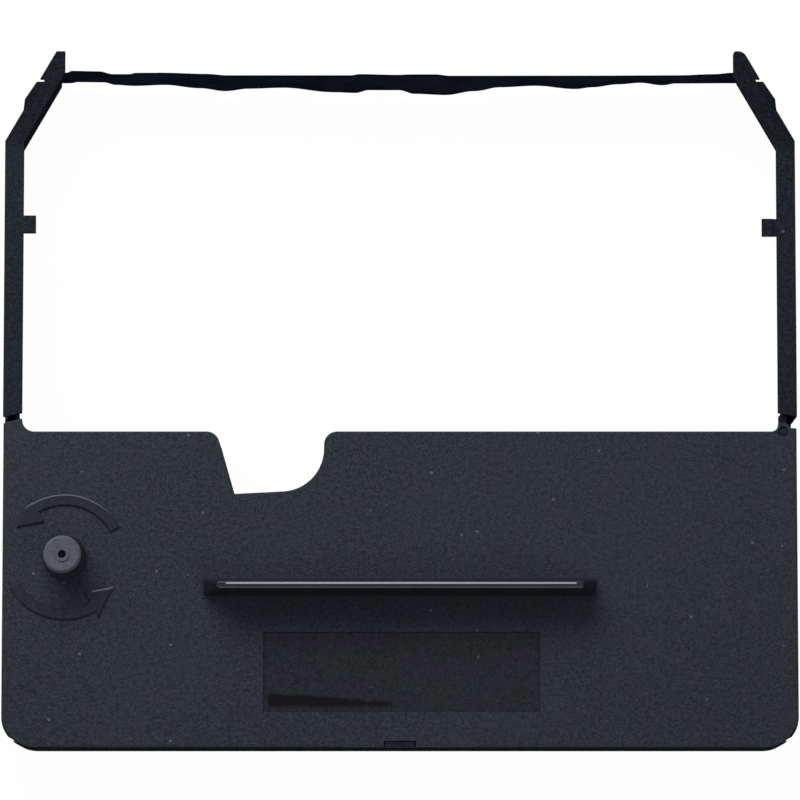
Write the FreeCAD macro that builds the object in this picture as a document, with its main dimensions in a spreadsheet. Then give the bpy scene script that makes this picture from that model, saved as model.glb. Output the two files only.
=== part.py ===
"""Printer ribbon cartridge with two guide arms, modelled lying flat on its base.

The frame: X runs across the cartridge, Y runs from the front edge towards the arm tips,
Z is up, and the origin lies under the middle of the whole outline, on the resting face.
"""
import FreeCAD
import Part
import Sketcher
import math
import os

SIZES = {
    "case_width": (166.7, "across the two arms"),
    "overall_depth": (147.2, "front edge to arm tips"),
    "body_depth": (66.4, "front edge to the back edge of the body"),
    "overall_height": (17.0, "resting face to the top of the cover plate"),
    "wall_thickness": (1.5, "outer walls of the case"),
    "floor_thickness": (1.5, "floor of the case"),
    "cover_thickness": (1.7, "plate of the cover"),
    "cover_inset": (0.3, "step between the case wall and the cover edge"),
    "front_radius": (6.6, "front corners in plan"),
    "edge_radius": (0.35, "top edge of the cover"),
    "arm_width": (3.95, "guide arm across its top flange"),
    "arm_lean": (30.0, "lean of the arm ends towards the middle, degrees"),
    "arm_bend": (20.25, "arm tips to the inner bend of the arm"),
    "arm_lift": (1.0, "underside of the arm above the resting face"),
    "seam_rise": (3.1, "body's back edge to the end of the arm on its outer side"),
    "seam_slant": (0.85, "how much further back the arm ends on its inner side"),
    "seam_gap": (1.25, "open joint between the cover and the end of the arm"),
    "seam_depth": (4.0, "open joint below the top of the case wall"),
    "web_setback": (1.6, "web behind the inner edge of the top flange"),
    "web_thickness": (0.8, "web on the inner side of the arm"),
    "flange_thickness": (1.6, "top flange of the arm"),
    "sole_thickness": (0.9, "bottom flange of the arm"),
    "left_bend": (19.4, "arm tips to the bend of the left top flange's inner edge"),
    "right_bend": (20.9, "arm tips to the bend of the right top flange's inner edge"),
    "left_tip_width": (1.8, "flat end of the left arm"),
    "right_tip_width": (2.15, "end of the right arm before its rounds"),
    "tip_proud": (0.33, "arm tip beyond the arm's outer line"),
    "ear_radius": (2.3, "round between the case's back wall and the arm root"),
    "cover_ear_radius": (2.6, "round between the cover's back edge and the left arm root"),
    "corner_foot_radius": (1.5, "round between the cover's back edge and the ear at the post"),
    "slot_wall": (0.6, "case wall beside the ribbon's slot"),
    "slot_lead": (4.0, "slot's start below the back wall"),
    "notch_left": (-38.55, "left top corner of the back notch"),
    "notch_bottom": (-34.8, "left bottom corner of the back notch"),
    "notch_right": (-15.95, "right side of the back notch"),
    "notch_depth": (13.15, "back edge to the notch floor, left end"),
    "notch_rise": (0.95, "rise of the notch floor to its right end"),
    "notch_mouth_radius": (2.75, "rounds at the mouth of the notch"),
    "notch_inner_radius": (9.0, "round inside the notch, right"),
    "drive_inset": (13.15, "left side of the case to the drive axis"),
    "drive_y": (39.9, "front edge to the drive axis"),
    "drive_radius": (6.0, "serrated drive roller"),
    "drive_teeth": (24.0, "grooves of the drive roller"),
    "groove_depth": (0.5, "grooves of the drive roller"),
    "journal_radius": (4.8, "lower journal of the drive roller"),
    "socket_radius": (2.0, "bore for the printer's drive spindle"),
    "socket_depth": (9.0, "bore for the printer's drive spindle"),
    "socket_key_width": (1.2, "key slots beside the spindle bore"),
    "socket_key_reach": (3.2, "key slots, from the axis"),
    "shaft_radius": (3.2, "knob shaft where it passes the cover"),
    "shaft_press": (1.6, "spigot pressed into the roller"),
    "spigot_length": (3.0, "spigot pressed into the roller"),
    "running_fit": (0.05, "radial clearance of the turning parts"),
    "knob_height": (8.8, "knob above the cover"),
    "knob_base_radius": (4.6, "knob at the foot of its cone"),
    "knob_top_radius": (3.9, "knob at the top of its cone"),
    "knob_lift": (0.3, "gap between the cover and the knob"),
    "knob_round": (0.5, "top edge of the knob"),
    "knob_dimple_radius": (0.85, "hole in the knob's top"),
    "knob_dimple_depth": (1.2, "hole in the knob's top"),
    "knob_ring_radius": (1.5, "raised ring round the hole"),
    "knob_ring_height": (0.25, "raised ring round the hole"),
    "pinch_radius": (4.0, "rubber tyre of the pinch roller"),
    "pinch_hub_radius": (2.8, "hub of the pinch roller"),
    "pinch_axle_radius": (1.0, "axle of the pinch roller"),
    "pinch_bearing": (-75.0, "direction from the drive axis to the pinch axis, degrees"),
    "nip_gap": (0.7, "room between the two rollers"),
    "roller_floor_gap": (0.4, "gap under the drive roller"),
    "roller_height": (11.6, "height of the drive roller's serrated part"),
    "lever_thickness": (1.5, "pinch lever"),
    "lever_half_width": (2.9, "pinch lever"),
    "pivot_inset": (6.25, "left side of the case to the pinch lever pivot"),
    "pivot_y": (27.0, "front edge to the pinch lever pivot"),
    "pivot_radius": (1.6, "post that carries the pinch lever"),
    "spring_thickness": (0.4, "flat springs"),
    "spring_height": (8.0, "flat springs"),
    "handle_length": (82.4, "finger grip at its foot"),
    "handle_width": (3.4, "finger grip at its foot"),
    "handle_top_length": (76.0, "finger grip at its top"),
    "handle_top_width": (1.35, "finger grip at its top"),
    "handle_height": (9.2, "finger grip above the cover"),
    "handle_corner": (0.4, "upright corners of the finger grip"),
    "handle_edge": (0.25, "top edge of the finger grip"),
    "handle_y": (33.5, "front edge to the finger grip"),
    "plinth_length": (83.0, "low step round the foot of the grip"),
    "plinth_width": (4.5, "low step round the foot of the grip"),
    "plinth_height": (0.25, "low step round the foot of the grip"),
    "plinth_bevel": (0.15, "edge of the low step"),
    "label_width": (57.8, "recess for the label"),
    "label_shift": (0.35, "label recess to the right of the middle"),
    "label_front": (7.55, "front edge to the label recess"),
    "label_depth": (16.75, "recess for the label"),
    "label_sink": (0.35, "recess for the label"),
    "arrow_inner": (10.8, "inner radius of the arrow band"),
    "arrow_outer": (13.2, "outer radius of the arrow band"),
    "arrow_head_inner": (8.4, "inner corner of the arrow head"),
    "arrow_head_outer": (14.6, "outer corner of the arrow head"),
    "arrow_tail_angle": (28.5, "start of the arrow, degrees"),
    "arrow_neck_angle": (119.5, "foot of the arrow head, degrees"),
    "arrow_tip_angle": (149.0, "tip of the arrow head, degrees"),
    "arrow_height": (0.5, "raised arrow"),
    "arrow_bevel": (0.3, "sloping edge of the arrow"),
    "corner_post_inset": (3.0, "right side of the case to the round post"),
    "corner_post_radius": (0.9, "round post at the right arm root"),
    "corner_post_length": (3.0, "round post below the top of the case wall"),
    "corner_hole_radius": (1.07, "hole in the cover over the round post"),
    "corner_ear_radius": (1.85, "round of the cover over the post"),
    "corner_rise": (0.7, "body's back edge to the shoulder beside the post"),
    "corner_wall": (0.65, "wall between the post and the right arm"),
    "corner_lane": (2.1, "right side of the case to that wall's outer face"),
    "latch_width": (6.7, "latch opening in the front edge of the cover"),
    "latch_depth": (1.5, "latch opening in the front edge of the cover"),
    "latch_clearance": (0.2, "round the latch tongue"),
    "pry_left": (12.1, "pry slot in the front wall, left of the middle"),
    "pry_right": (15.1, "pry slot in the front wall, right of the middle"),
    "pry_depth": (0.8, "pry slot into the front wall"),
    "pry_height": (1.2, "pry slot below the cover"),
    "left_lug_reach": (2.6, "lug on the inner side of the left arm"),
    "right_lug_reach": (3.1, "lug on the inner side of the right arm"),
    "lug_length": (3.65, "lug on the inner side of each arm"),
    "lug_groove": (0.9, "groove between the right lug and its arm"),
    "lug_groove_depth": (0.4, "groove between the right lug and its arm"),
    "left_lug_back": (36.9, "arm tips to the left lug"),
    "right_lug_back": (37.6, "arm tips to the right lug"),
    "clip_back": (12.6, "arm tips to the lower end of the guide clip"),
    "clip_recess": (0.6, "arm cut back under the guide clip"),
    "clip_proud": (1.0, "guide clip beyond the arm's outer line"),
    "clip_step": (5.9, "arm tips to the upper end of the guide clip"),
    "clip_notch": (0.55, "open notch between the clip and the arm tip"),
    "clip_gap": (0.06, "between clip and flange"),
    "clip_margin": (0.4, "clip's ends below the arm's faces"),
    "tongue_length": (4.0, "clip tongue held between the flanges"),
    "tongue_depth": (0.25, "clip tongue held between the flanges"),
    "ribbon_width": (12.7, "woven ribbon on edge"),
    "ribbon_thickness": (0.3, "woven ribbon, with its ink"),
    "ribbon_floor": (2.1, "height of the ribbon's lower edge"),
    "ribbon_back": (4.3, "arm tips to the ribbon's span"),
    "ribbon_gap": (0.2, "between the ribbon and what guides it"),
    "spring_gap": (0.3, "between the pinch spring and the lever at rest"),
    "store_left": (31.35, "left side of the case to the stored folds"),
    "store_right": (9.35, "right side of the case to the stored folds"),
    "store_front": (4.0, "front edge to the stored folds"),
    "store_back": (16.9, "back edge of the body to the stored folds"),
    "store_radius": (6.0, "corners of the stored folds"),
    "boss_radius": (2.4, "bosses that hold the cover's pins"),
    "pin_radius": (1.2, "pins of the cover"),
    "pin_length": (3.5, "pins of the cover"),
    "felt_length": (6.0, "felt brake pad"),
    "felt_thickness": (1.2, "felt brake pad"),
    "felt_height": (9.0, "felt brake pad"),
    "post_root": (0.75, "how deep posts and raised marks reach into their base"),
}

DEGREE = "1 deg"
NEAR = 1e-4

# Shares of other sizes, without a unit.
CHANNEL_REACH = 3  # cut of the arm's channel past the arm, in heights of the clip's face
CHANNEL_END = 2  # cut of the channel past the arm's tip, in the same heights
TIP_ROUNDS = {"inner": 0.3, "outer": 0.95}  # rounds of the right tip to its width
CLIP_SLOPE = 2.4  # length of the clip's run-in slope to the height of its face
CLIP_LIP = 0.05  # height of the clip's thin end to the height of its face
CLIP_FALL = 0.7  # height of the clip's far end to the height of its face
SHOULDER = 0.9  # roller's upper shoulder to the shaft's radius
TOOTH_HALF = 1.2  # half the mouth of a tooth gap to its depth
SPIGOT_HOLE = 0.7  # depth of the roller's hole to the spigot's length
SPIGOT_IN = 0.65  # how far the spigot stands in the hole, to its length
SPRING_TOUCH = 0.55  # place on the lever where its spring bears, from pivot to roller
SPRING_REACH = 6  # spring's foot beside its touching point, in wall thicknesses
SPRING_FOOT = 2  # length of the spring's foot, in wall thicknesses
BOSS_PITCH = 3  # bosses from the edges of the body, in boss radii
TOP_PLANE = "XY_Plane"
SIDE_PLANE = "XZ_Plane"

doc = FreeCAD.newDocument("ribbon_cartridge")
sheet = doc.addObject("Spreadsheet::Sheet", "sizes")
for row, (alias, (number, note)) in enumerate(SIZES.items(), start=1):
    sheet.set(f"A{row}", note)
    sheet.set(f"B{row}", str(number))
    sheet.setAlias(f"B{row}", alias)
doc.recompute()

SUB_PARTS = []


def size(alias):
    """Value of one driving dimension, in millimetres or degrees."""
    return float(sheet.get(alias))


def value(expression):
    """Number that an expression over the sheet gives."""
    result = sheet.evalExpression(expression)
    return float(getattr(result, "Value", result))


def name(alias):
    """The alias as an expression reads it."""
    return f"sizes.{alias}"


FRONT = "(-sizes.overall_depth / 2)"
HALF = "(sizes.case_width / 2)"
INNER = "(sizes.case_width / 2 - sizes.arm_width)"
COVER_BOTTOM = "(sizes.overall_height - sizes.cover_thickness)"
BODY_BACK = f"({FRONT} + sizes.body_depth)"
LEAN = f"(sizes.arm_lean * {DEGREE})"
BACK = "(sizes.overall_depth / 2)"
SEAM = f"({BODY_BACK} + sizes.seam_rise)"
SEAM_INNER = f"({SEAM} + sizes.seam_slant)"
FLANGE_FOOT = "(sizes.overall_height - sizes.flange_thickness)"
SOLE_TOP = "(sizes.arm_lift + sizes.sole_thickness)"
WEB_OUTER = "(sizes.web_setback + sizes.web_thickness)"
LANE = f"({WEB_OUTER} + sizes.ribbon_gap + sizes.ribbon_thickness / 2)"
TIP_OFFSET = "(sizes.arm_width + sizes.tip_proud)"
TIP_RUN = f"(sizes.arm_bend - {TIP_OFFSET} * tan({LEAN} / 2))"
TIP_OUTER = f"({INNER} + {TIP_OFFSET} - {TIP_RUN} * tan({LEAN}))"
RIBBON_Y = f"({BACK} - sizes.ribbon_back)"
DRIVE_X = f"(-{HALF} + sizes.drive_inset)"
DRIVE_Y = f"({FRONT} + sizes.drive_y)"
POST_X = f"({HALF} - sizes.corner_post_inset)"
NOTCH_FLOOR = f"({BODY_BACK} - sizes.notch_depth)"
STORE_LEFT = f"(-{HALF} + sizes.store_left)"
STORE_RIGHT = f"({HALF} - sizes.store_right)"
STORE_BACK = f"({BODY_BACK} - sizes.store_back)"
PIVOT_X = f"(-{HALF} + sizes.pivot_inset)"


def new_body(label, x="0", y="0", z="0"):
    """An empty sub-part whose own axis stands at x, y, z."""
    body = doc.addObject("PartDesign::Body", label)
    body.Label = label
    for axis, expression in zip("xyz", (x, y, z)):
        if expression != "0":
            body.setExpression(f"Placement.Base.{axis}", expression)
    SUB_PARTS.append(body)
    return body


def new_sketch(body, label, plane=TOP_PLANE, offset="0"):
    """A sketch on one of the sub-part's own planes, lifted along its normal."""
    sketch = body.newObject("Sketcher::SketchObject", f"{body.Name}_{label}")
    features = body.Origin.OriginFeatures
    sketch.AttachmentSupport = [(next(f for f in features if f.Role == plane), "")]
    sketch.MapMode = "FlatFace"
    if offset != "0":
        sketch.setExpression("AttachmentOffset.Base.z", offset)
    return sketch


def pin_coordinate(sketch, geometry, end, axis, expression):
    """Fixes one coordinate of a vertex to an expression."""
    if expression == "0":
        on_axis = -2 if axis == "X" else -1
        sketch.addConstraint(Sketcher.Constraint("PointOnObject", geometry, end, on_axis))
        return
    number = value(expression)
    constraint = Sketcher.Constraint(f"Distance{axis}", -1, 1, geometry, end, number)
    index = sketch.addConstraint(constraint)
    sketch.setExpression(f"Constraints[{index}]", expression)


def arc_between(start, end, centre, turn):
    """Arc about a centre, with the direction of travel, +1 anticlockwise."""
    radius = math.hypot(start[0] - centre[0], start[1] - centre[1])
    first, last = (start, end) if turn > 0 else (end, start)
    angles = [math.atan2(p[1] - centre[1], p[0] - centre[0]) for p in (first, last)]
    if angles[1] <= angles[0]:
        angles[1] += 2 * math.pi
    round_line = Part.Circle(FreeCAD.Vector(*centre, 0), FreeCAD.Vector(0, 0, 1), radius)
    return Part.ArcOfCircle(round_line, *angles)


def outline(sketch, path):
    """Closed outline of (x, y) corners; (x, y, cx, cy, r, turn) starts an arc."""
    corners = [(value(step[0]), value(step[1])) for step in path]
    ends = []
    count = len(path)
    for i, step in enumerate(path):
        start, end = corners[i], corners[(i + 1) % count]
        if len(step) == 2:
            line = Part.LineSegment(FreeCAD.Vector(*start, 0), FreeCAD.Vector(*end, 0))
            ends.append((sketch.addGeometry(line), 1, 2))
            continue
        centre = (value(step[2]), value(step[3]))
        number = sketch.addGeometry(arc_between(start, end, centre, step[5]))
        pin_coordinate(sketch, number, 3, "X", step[2])
        pin_coordinate(sketch, number, 3, "Y", step[3])
        index = sketch.addConstraint(Sketcher.Constraint("Radius", number, value(step[4])))
        sketch.setExpression(f"Constraints[{index}]", step[4])
        ends.append((number, 1, 2) if step[5] > 0 else (number, 2, 1))
    for i, step in enumerate(path):
        geometry, start, _ = ends[i]
        before, _, finish = ends[i - 1]
        sketch.addConstraint(Sketcher.Constraint("Coincident", before, finish, geometry, start))
        arcs = [s for s in (step, path[i - 1]) if len(s) == 6]
        if not arcs:
            pin_coordinate(sketch, geometry, start, "X", step[0])
            pin_coordinate(sketch, geometry, start, "Y", step[1])
            continue
        across = abs(corners[i][0] - value(arcs[0][2]))
        along = abs(corners[i][1] - value(arcs[0][3]))
        axis = "X" if along > across else "Y"
        pin_coordinate(sketch, geometry, start, axis, step[0] if axis == "X" else step[1])
    return sketch


def circle(sketch, x, y, radius):
    """Circle at x, y."""
    shape = Part.Circle(FreeCAD.Vector(value(x), value(y), 0), FreeCAD.Vector(0, 0, 1), value(radius))
    number = sketch.addGeometry(shape)
    pin_coordinate(sketch, number, 3, "X", x)
    pin_coordinate(sketch, number, 3, "Y", y)
    index = sketch.addConstraint(Sketcher.Constraint("Radius", number, value(radius)))
    sketch.setExpression(f"Constraints[{index}]", radius)
    return sketch


def pad(body, sketch, length, reverse=False):
    """Material raised from a sketch."""
    feature = body.newObject("PartDesign::Pad", f"{sketch.Name}_pad")
    feature.Profile = sketch
    feature.setExpression("Length", length)
    feature.Reversed = reverse
    doc.recompute()
    return feature


def pocket(body, sketch, length=None, reverse=False):
    """Material cut below a sketch, to a depth or right through."""
    feature = body.newObject("PartDesign::Pocket", f"{sketch.Name}_cut")
    feature.Profile = sketch
    if length is None:
        feature.Type = 1
        feature.Midplane = True
    else:
        feature.setExpression("Length", length)
        feature.Reversed = reverse
    doc.recompute()
    return feature


def revolve(body, sketch):
    """Solid of revolution about the sub-part's own upright axis."""
    feature = body.newObject("PartDesign::Revolution", f"{sketch.Name}_turned")
    feature.Profile = sketch
    feature.ReferenceAxis = (sketch, ["V_Axis"])
    feature.Angle = 360
    doc.recompute()
    return feature


def upright_edges(feature, x, y):
    """Names of the upright edges that stand at x, y."""
    target = (value(x), value(y))
    found = []
    for number, edge in enumerate(feature.Shape.Edges, start=1):
        ends = [v.Point for v in edge.Vertexes]
        if len(ends) == 2 and all(math.dist((p.x, p.y), target) < NEAR for p in ends):
            found.append(f"Edge{number}")
    return found


def round_edges(body, feature, edges, radius, label):
    """Fillet on named edges."""
    fillet = body.newObject("PartDesign::Fillet", f"{body.Name}_{label}")
    fillet.Base = (feature, edges)
    fillet.setExpression("Radius", radius)
    doc.recompute()
    return fillet


def top_edges(feature, height):
    """Names of the edges that lie wholly at a height."""
    return [f"Edge{number}" for number, edge in enumerate(feature.Shape.Edges, start=1)
            if all(abs(vertex.Z - height) < NEAR for vertex in edge.Vertexes)]


def bevel_edges(body, feature, edges, width, label):
    """Bevel on named edges."""
    bevel = body.newObject("PartDesign::Chamfer", f"{body.Name}_{label}")
    bevel.Base = (feature, edges)
    bevel.setExpression("Size", width)
    doc.recompute()
    return bevel


def arm_point(side, offset, along=None):
    """Knee of the arm line that lies offset outside the inner face, or its point at a height.

    The line runs straight up to the knee and then leans towards the middle; without
    along the knee comes back, with it the point of the leaning stretch at that Y.
    """
    knee_y = f"({BACK} - sizes.arm_bend + ({offset}) * tan({LEAN} / 2))"
    line_x = f"({INNER} + ({offset}))"
    if along is None:
        return f"({side} * {line_x})", knee_y
    return f"({side} * ({line_x} - (({along}) - {knee_y}) * tan({LEAN})))", f"({along})"


def tip_x(side):
    """Distance of an arm tip's inner edge from the middle."""
    return f"({TIP_OUTER} - sizes.{'left' if side == '-1' else 'right'}_tip_width)"


def flange_knee(side):
    """Bend of a top flange's inner edge."""
    return f"({side} * {INNER})", f"({BACK} - sizes.{'left' if side == '-1' else 'right'}_bend)"


def arm_outline(side, setback, inner_knee):
    """Plan of one arm from the seam to the tip, cut back under the clip and on its inner side."""
    start = f"({BACK} - sizes.clip_back)"
    step = f"({BACK} - sizes.clip_step)"
    tip = f"({side} * ({tip_x(side)} + {setback}))"
    cut = "(sizes.arm_width - sizes.clip_recess)"
    inner_end = f"({inner_knee[1]} + ({INNER} - {tip_x(side)}) / tan({LEAN}))"
    return [
        (f"({side} * {HALF})", SEAM),
        arm_point(side, "sizes.arm_width"),
        arm_point(side, "sizes.arm_width", start),
        arm_point(side, cut, start),
        arm_point(side, cut, step),
        arm_point(side, TIP_OFFSET, step),
        arm_point(side, TIP_OFFSET, BACK),
        (tip, BACK),
        (tip, inner_end),
        inner_knee,
        (f"({side} * ({INNER} + {setback}))", SEAM_INNER),
    ]


NOTCH = [
    ("sizes.notch_right", BODY_BACK, "notch_mouth_radius"),
    ("sizes.notch_right", f"({NOTCH_FLOOR} + sizes.notch_rise)", "notch_inner_radius"),
    ("sizes.notch_bottom", NOTCH_FLOOR, None),
    ("sizes.notch_left", BODY_BACK, "notch_mouth_radius"),
]


def case_outline():
    """Plan of the body with its notch, the left arm root and the wall beside the post."""
    root = f"({INNER} + sizes.web_setback)"
    lane = f"({HALF} - sizes.corner_lane)"
    ear_top = f"({SEAM_INNER} + sizes.wall_thickness / 2)"
    shoulder = f"({BODY_BACK} + sizes.corner_rise)"
    return [
        (f"(-{HALF})", FRONT),
        (HALF, FRONT),
        (HALF, shoulder),
        (lane, shoulder),
        (lane, ear_top),
        (f"({lane} - sizes.corner_wall)", ear_top),
        (f"({lane} - sizes.corner_wall)", BODY_BACK),
        *[(x, y) for x, y, _ in NOTCH],
        (f"(-{root})", BODY_BACK),
        (f"(-{root})", ear_top),
        (f"(-{HALF})", ear_top),
    ]


def cover_outline():
    """Plan of the cover: slanted edge at the left arm, round ear over the post at the right."""
    side = f"({HALF} - sizes.cover_inset)"
    root = INNER
    front = f"({FRONT} + sizes.cover_inset)"
    ear = "sizes.corner_ear_radius"
    shoulder = f"({BODY_BACK} + sizes.corner_rise)"
    foot = f"({POST_X} + sqrt({ear}^2 - sizes.corner_rise^2))"
    crown = f"({BODY_BACK} + sqrt({ear}^2 - ({POST_X} - {root})^2))"
    return [
        (f"(-{side})", front),
        (side, front),
        (side, shoulder),
        (foot, shoulder, POST_X, BODY_BACK, ear, 1),
        (root, crown),
        (root, BODY_BACK),
        *[(x, y) for x, y, _ in NOTCH],
        (f"(-{root})", BODY_BACK),
        (f"(-{root})", f"({SEAM_INNER} - sizes.seam_gap)"),
        (f"(-{side})", f"({SEAM} - sizes.seam_gap)"),
    ]


def round_body(body, feature, corners):
    """Rounds of a body plan at the corners given, and those of its notch."""
    for count, (x, y, radius) in enumerate(corners + [corner for corner in NOTCH if corner[2]]):
        edges = upright_edges(feature, x, y)
        feature = round_edges(body, feature, edges, name(radius) if radius in SIZES else radius,
                              f"round{count}")
    return feature


def cavity_outline():
    """Plan of the room inside the body, with its walls and the slots to the arms."""
    wall = "sizes.wall_thickness"
    side = f"({HALF} - {wall})"
    back = f"({BODY_BACK} - {wall})"
    floor = f"({NOTCH_FLOOR} - {wall})"
    slot_in = f"({INNER} + {WEB_OUTER})"
    slot_out = f"({HALF} - sizes.slot_wall)"
    slot_top = f"({SEAM_INNER} + {wall})"
    slot_low = f"({back} - sizes.slot_lead)"
    lane = f"({HALF} - sizes.corner_lane)"
    lane_top = f"({BODY_BACK} + 2 * sizes.corner_rise)"
    left_foot = f"(sizes.notch_bottom - {wall})"
    left_top = f"(sizes.notch_left - {wall})"
    right = f"(sizes.notch_right + {wall})"
    return [
        (f"(-{side})", f"({FRONT} + {wall})"),
        (side, f"({FRONT} + {wall})"),
        (side, slot_low),
        (slot_out, slot_low),
        (slot_out, slot_top),
        (slot_in, slot_top),
        (slot_in, lane_top),
        (lane, lane_top),
        (lane, back),
        (right, back),
        (right, floor),
        (left_foot, floor),
        (left_top, back),
        (f"(-{slot_in})", back),
        (f"(-{slot_in})", slot_top),
        (f"(-{slot_out})", slot_top),
        (f"(-{slot_out})", slot_low),
        (f"(-{side})", slot_low),
    ]


def channel_outline(side):
    """Plan of the room between the flanges, outside the web, past the arm's outer line."""
    outside = f"(sizes.arm_width + {CHANNEL_REACH} * sizes.clip_proud)"
    nose_y = f"({RIBBON_Y} - sizes.ribbon_thickness / 2 - sizes.ribbon_gap)"
    past_tip = f"({side} * ({tip_x(side)} - {CHANNEL_END} * sizes.clip_proud))"
    past_back = f"({BACK} + {CHANNEL_END} * sizes.clip_proud)"
    return [
        (f"({side} * ({INNER} + {outside}))", SEAM_INNER),
        arm_point(side, outside),
        arm_point(side, outside, past_back),
        (past_tip, past_back),
        (past_tip, nose_y),
        arm_point(side, WEB_OUTER, nose_y),
        arm_point(side, WEB_OUTER),
        (f"({side} * ({INNER} + {WEB_OUTER}))", SEAM_INNER),
    ]


def rectangle(x0, y0, x1, y1):
    """Corners of a rectangle."""
    return [(x0, y0), (x1, y0), (x1, y1), (x0, y1)]


BOSS_BACK = f"({BODY_BACK} - {BOSS_PITCH} * sizes.boss_radius)"
# Bosses stand a few of their own radii from the notch, the stored folds and the lever's pivot.
BOSSES = [
    ("(sizes.notch_left - 3 * sizes.boss_radius)", BOSS_BACK),
    ("(sizes.notch_right + 4 * sizes.boss_radius)", BOSS_BACK),
    (f"({STORE_RIGHT} - 5 * sizes.boss_radius)", BOSS_BACK),
    (f"({PIVOT_X} + 2.2 * sizes.boss_radius)", f"({FRONT} + {BOSS_PITCH} * sizes.boss_radius)"),
]


def make_arm(body, side, label):
    """One guide arm: wide top flange, web and sole behind it, the channel and the lug."""
    flange = pad(body, outline(new_sketch(body, f"{label}_flange", offset=FLANGE_FOOT),
                               arm_outline(side, "0", flange_knee(side))), "sizes.flange_thickness")
    if side == "1":
        for title, x in (("inner", tip_x(side)), ("outer", TIP_OUTER)):
            edges = upright_edges(flange, x, BACK)
            radius = f"{TIP_ROUNDS[title]} * sizes.right_tip_width"
            flange = round_edges(body, flange, edges, radius, f"tip_{title}")
    web = new_sketch(body, f"{label}_web", offset="sizes.arm_lift")
    web_plan = arm_outline(side, "sizes.web_setback", arm_point(side, "sizes.web_setback"))
    pad(body, outline(web, web_plan), f"{FLANGE_FOOT} - sizes.arm_lift")
    channel = new_sketch(body, f"{label}_channel", offset=FLANGE_FOOT)
    pocket(body, outline(channel, channel_outline(side)), f"{FLANGE_FOOT} - {SOLE_TOP}")
    lug_y = f"({BACK} - sizes.{label}_lug_back)"
    edges_y = [f"({lug_y} - sizes.lug_length / 2)", f"({lug_y} + sizes.lug_length / 2)"]
    inner = f"({side} * ({INNER} + sizes.web_setback))"
    reach = f"({side} * ({INNER} - sizes.{label}_lug_reach))"
    lug = new_sketch(body, f"{label}_lug", offset=FLANGE_FOOT)
    pad(body, outline(lug, rectangle(inner, edges_y[0], reach, edges_y[1])), "sizes.flange_thickness")
    if side == "1":
        groove = new_sketch(body, f"{label}_lug_groove", offset="sizes.overall_height")
        outline(groove, rectangle(f"({INNER} - sizes.lug_groove)", edges_y[0], INNER, edges_y[1]))
        pocket(body, groove, "sizes.lug_groove_depth")


def make_bottom_case():
    """Lower shell moulded in one with both arms, their lugs and the inner posts."""
    body = new_body("bottom_case")
    shell = pad(body, outline(new_sketch(body, "plan"), case_outline()), COVER_BOTTOM)
    lane_inner = f"({HALF} - sizes.corner_lane - sizes.corner_wall)"
    round_body(body, shell, [
        (f"(-{HALF})", FRONT, "front_radius"),
        (HALF, FRONT, "front_radius"),
        (f"(-({INNER} + sizes.web_setback))", BODY_BACK, "ear_radius"),
        (lane_inner, BODY_BACK, "ear_radius"),
    ])
    make_arm(body, "-1", "left")
    make_arm(body, "1", "right")
    room = new_sketch(body, "room", offset=COVER_BOTTOM)
    pocket(body, outline(room, cavity_outline()), f"{COVER_BOTTOM} - sizes.floor_thickness")
    joint = new_sketch(body, "joint", offset=COVER_BOTTOM)
    joint_front = f"({SEAM} - sizes.seam_gap)"
    pocket(body, outline(joint, rectangle(f"(-{HALF} - sizes.cover_inset)", joint_front,
                                          f"(-{INNER} + sizes.cover_inset)", SEAM_INNER)),
           "sizes.seam_depth")
    pry = new_sketch(body, "pry_slot", offset=COVER_BOTTOM)
    pocket(body, outline(pry, rectangle("(-sizes.pry_left)", f"({FRONT} - sizes.pry_depth)",
                                        "sizes.pry_right", f"({FRONT} + sizes.pry_depth)")),
           "sizes.pry_height")
    journal = new_sketch(body, "journal_hole")
    pocket(body, circle(journal, DRIVE_X, DRIVE_Y, "sizes.journal_radius + sizes.running_fit"))
    floor_top = "(sizes.floor_thickness - sizes.post_root)"
    posts = new_sketch(body, "posts", offset=floor_top)
    for x, y in BOSSES:
        circle(posts, x, y, "sizes.boss_radius")
    pad(body, posts, f"{COVER_BOTTOM} - {floor_top}")
    holes = new_sketch(body, "pin_holes", offset=COVER_BOTTOM)
    for x, y in BOSSES:
        circle(holes, x, y, "sizes.pin_radius + sizes.running_fit")
    pocket(body, holes, "sizes.pin_length + sizes.cover_inset")
    corner = new_sketch(body, "corner_post", offset=f"{COVER_BOTTOM} - sizes.corner_post_length")
    circle(corner, POST_X, BODY_BACK, "sizes.corner_post_radius")
    pad(body, corner, "sizes.corner_post_length + sizes.cover_thickness - sizes.cover_inset")
    pivot = new_sketch(body, "lever_post", offset=floor_top)
    circle(pivot, PIVOT_X, PIVOT_Y, "sizes.pivot_radius")
    pad(body, pivot, f"{COVER_BOTTOM} - {floor_top}")
    tongue = new_sketch(body, "latch_tongue", offset=f"{COVER_BOTTOM} - sizes.wall_thickness")
    half_latch = "(sizes.latch_width / 2 - sizes.latch_clearance)"
    tongue_back = f"({FRONT} + sizes.latch_depth - sizes.latch_clearance)"
    pad(body, outline(tongue, rectangle(f"(-{half_latch})", f"({FRONT} + sizes.latch_clearance / 2)",
                                        half_latch, tongue_back)),
        "sizes.cover_thickness + sizes.wall_thickness - sizes.latch_clearance")
    return body


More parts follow.
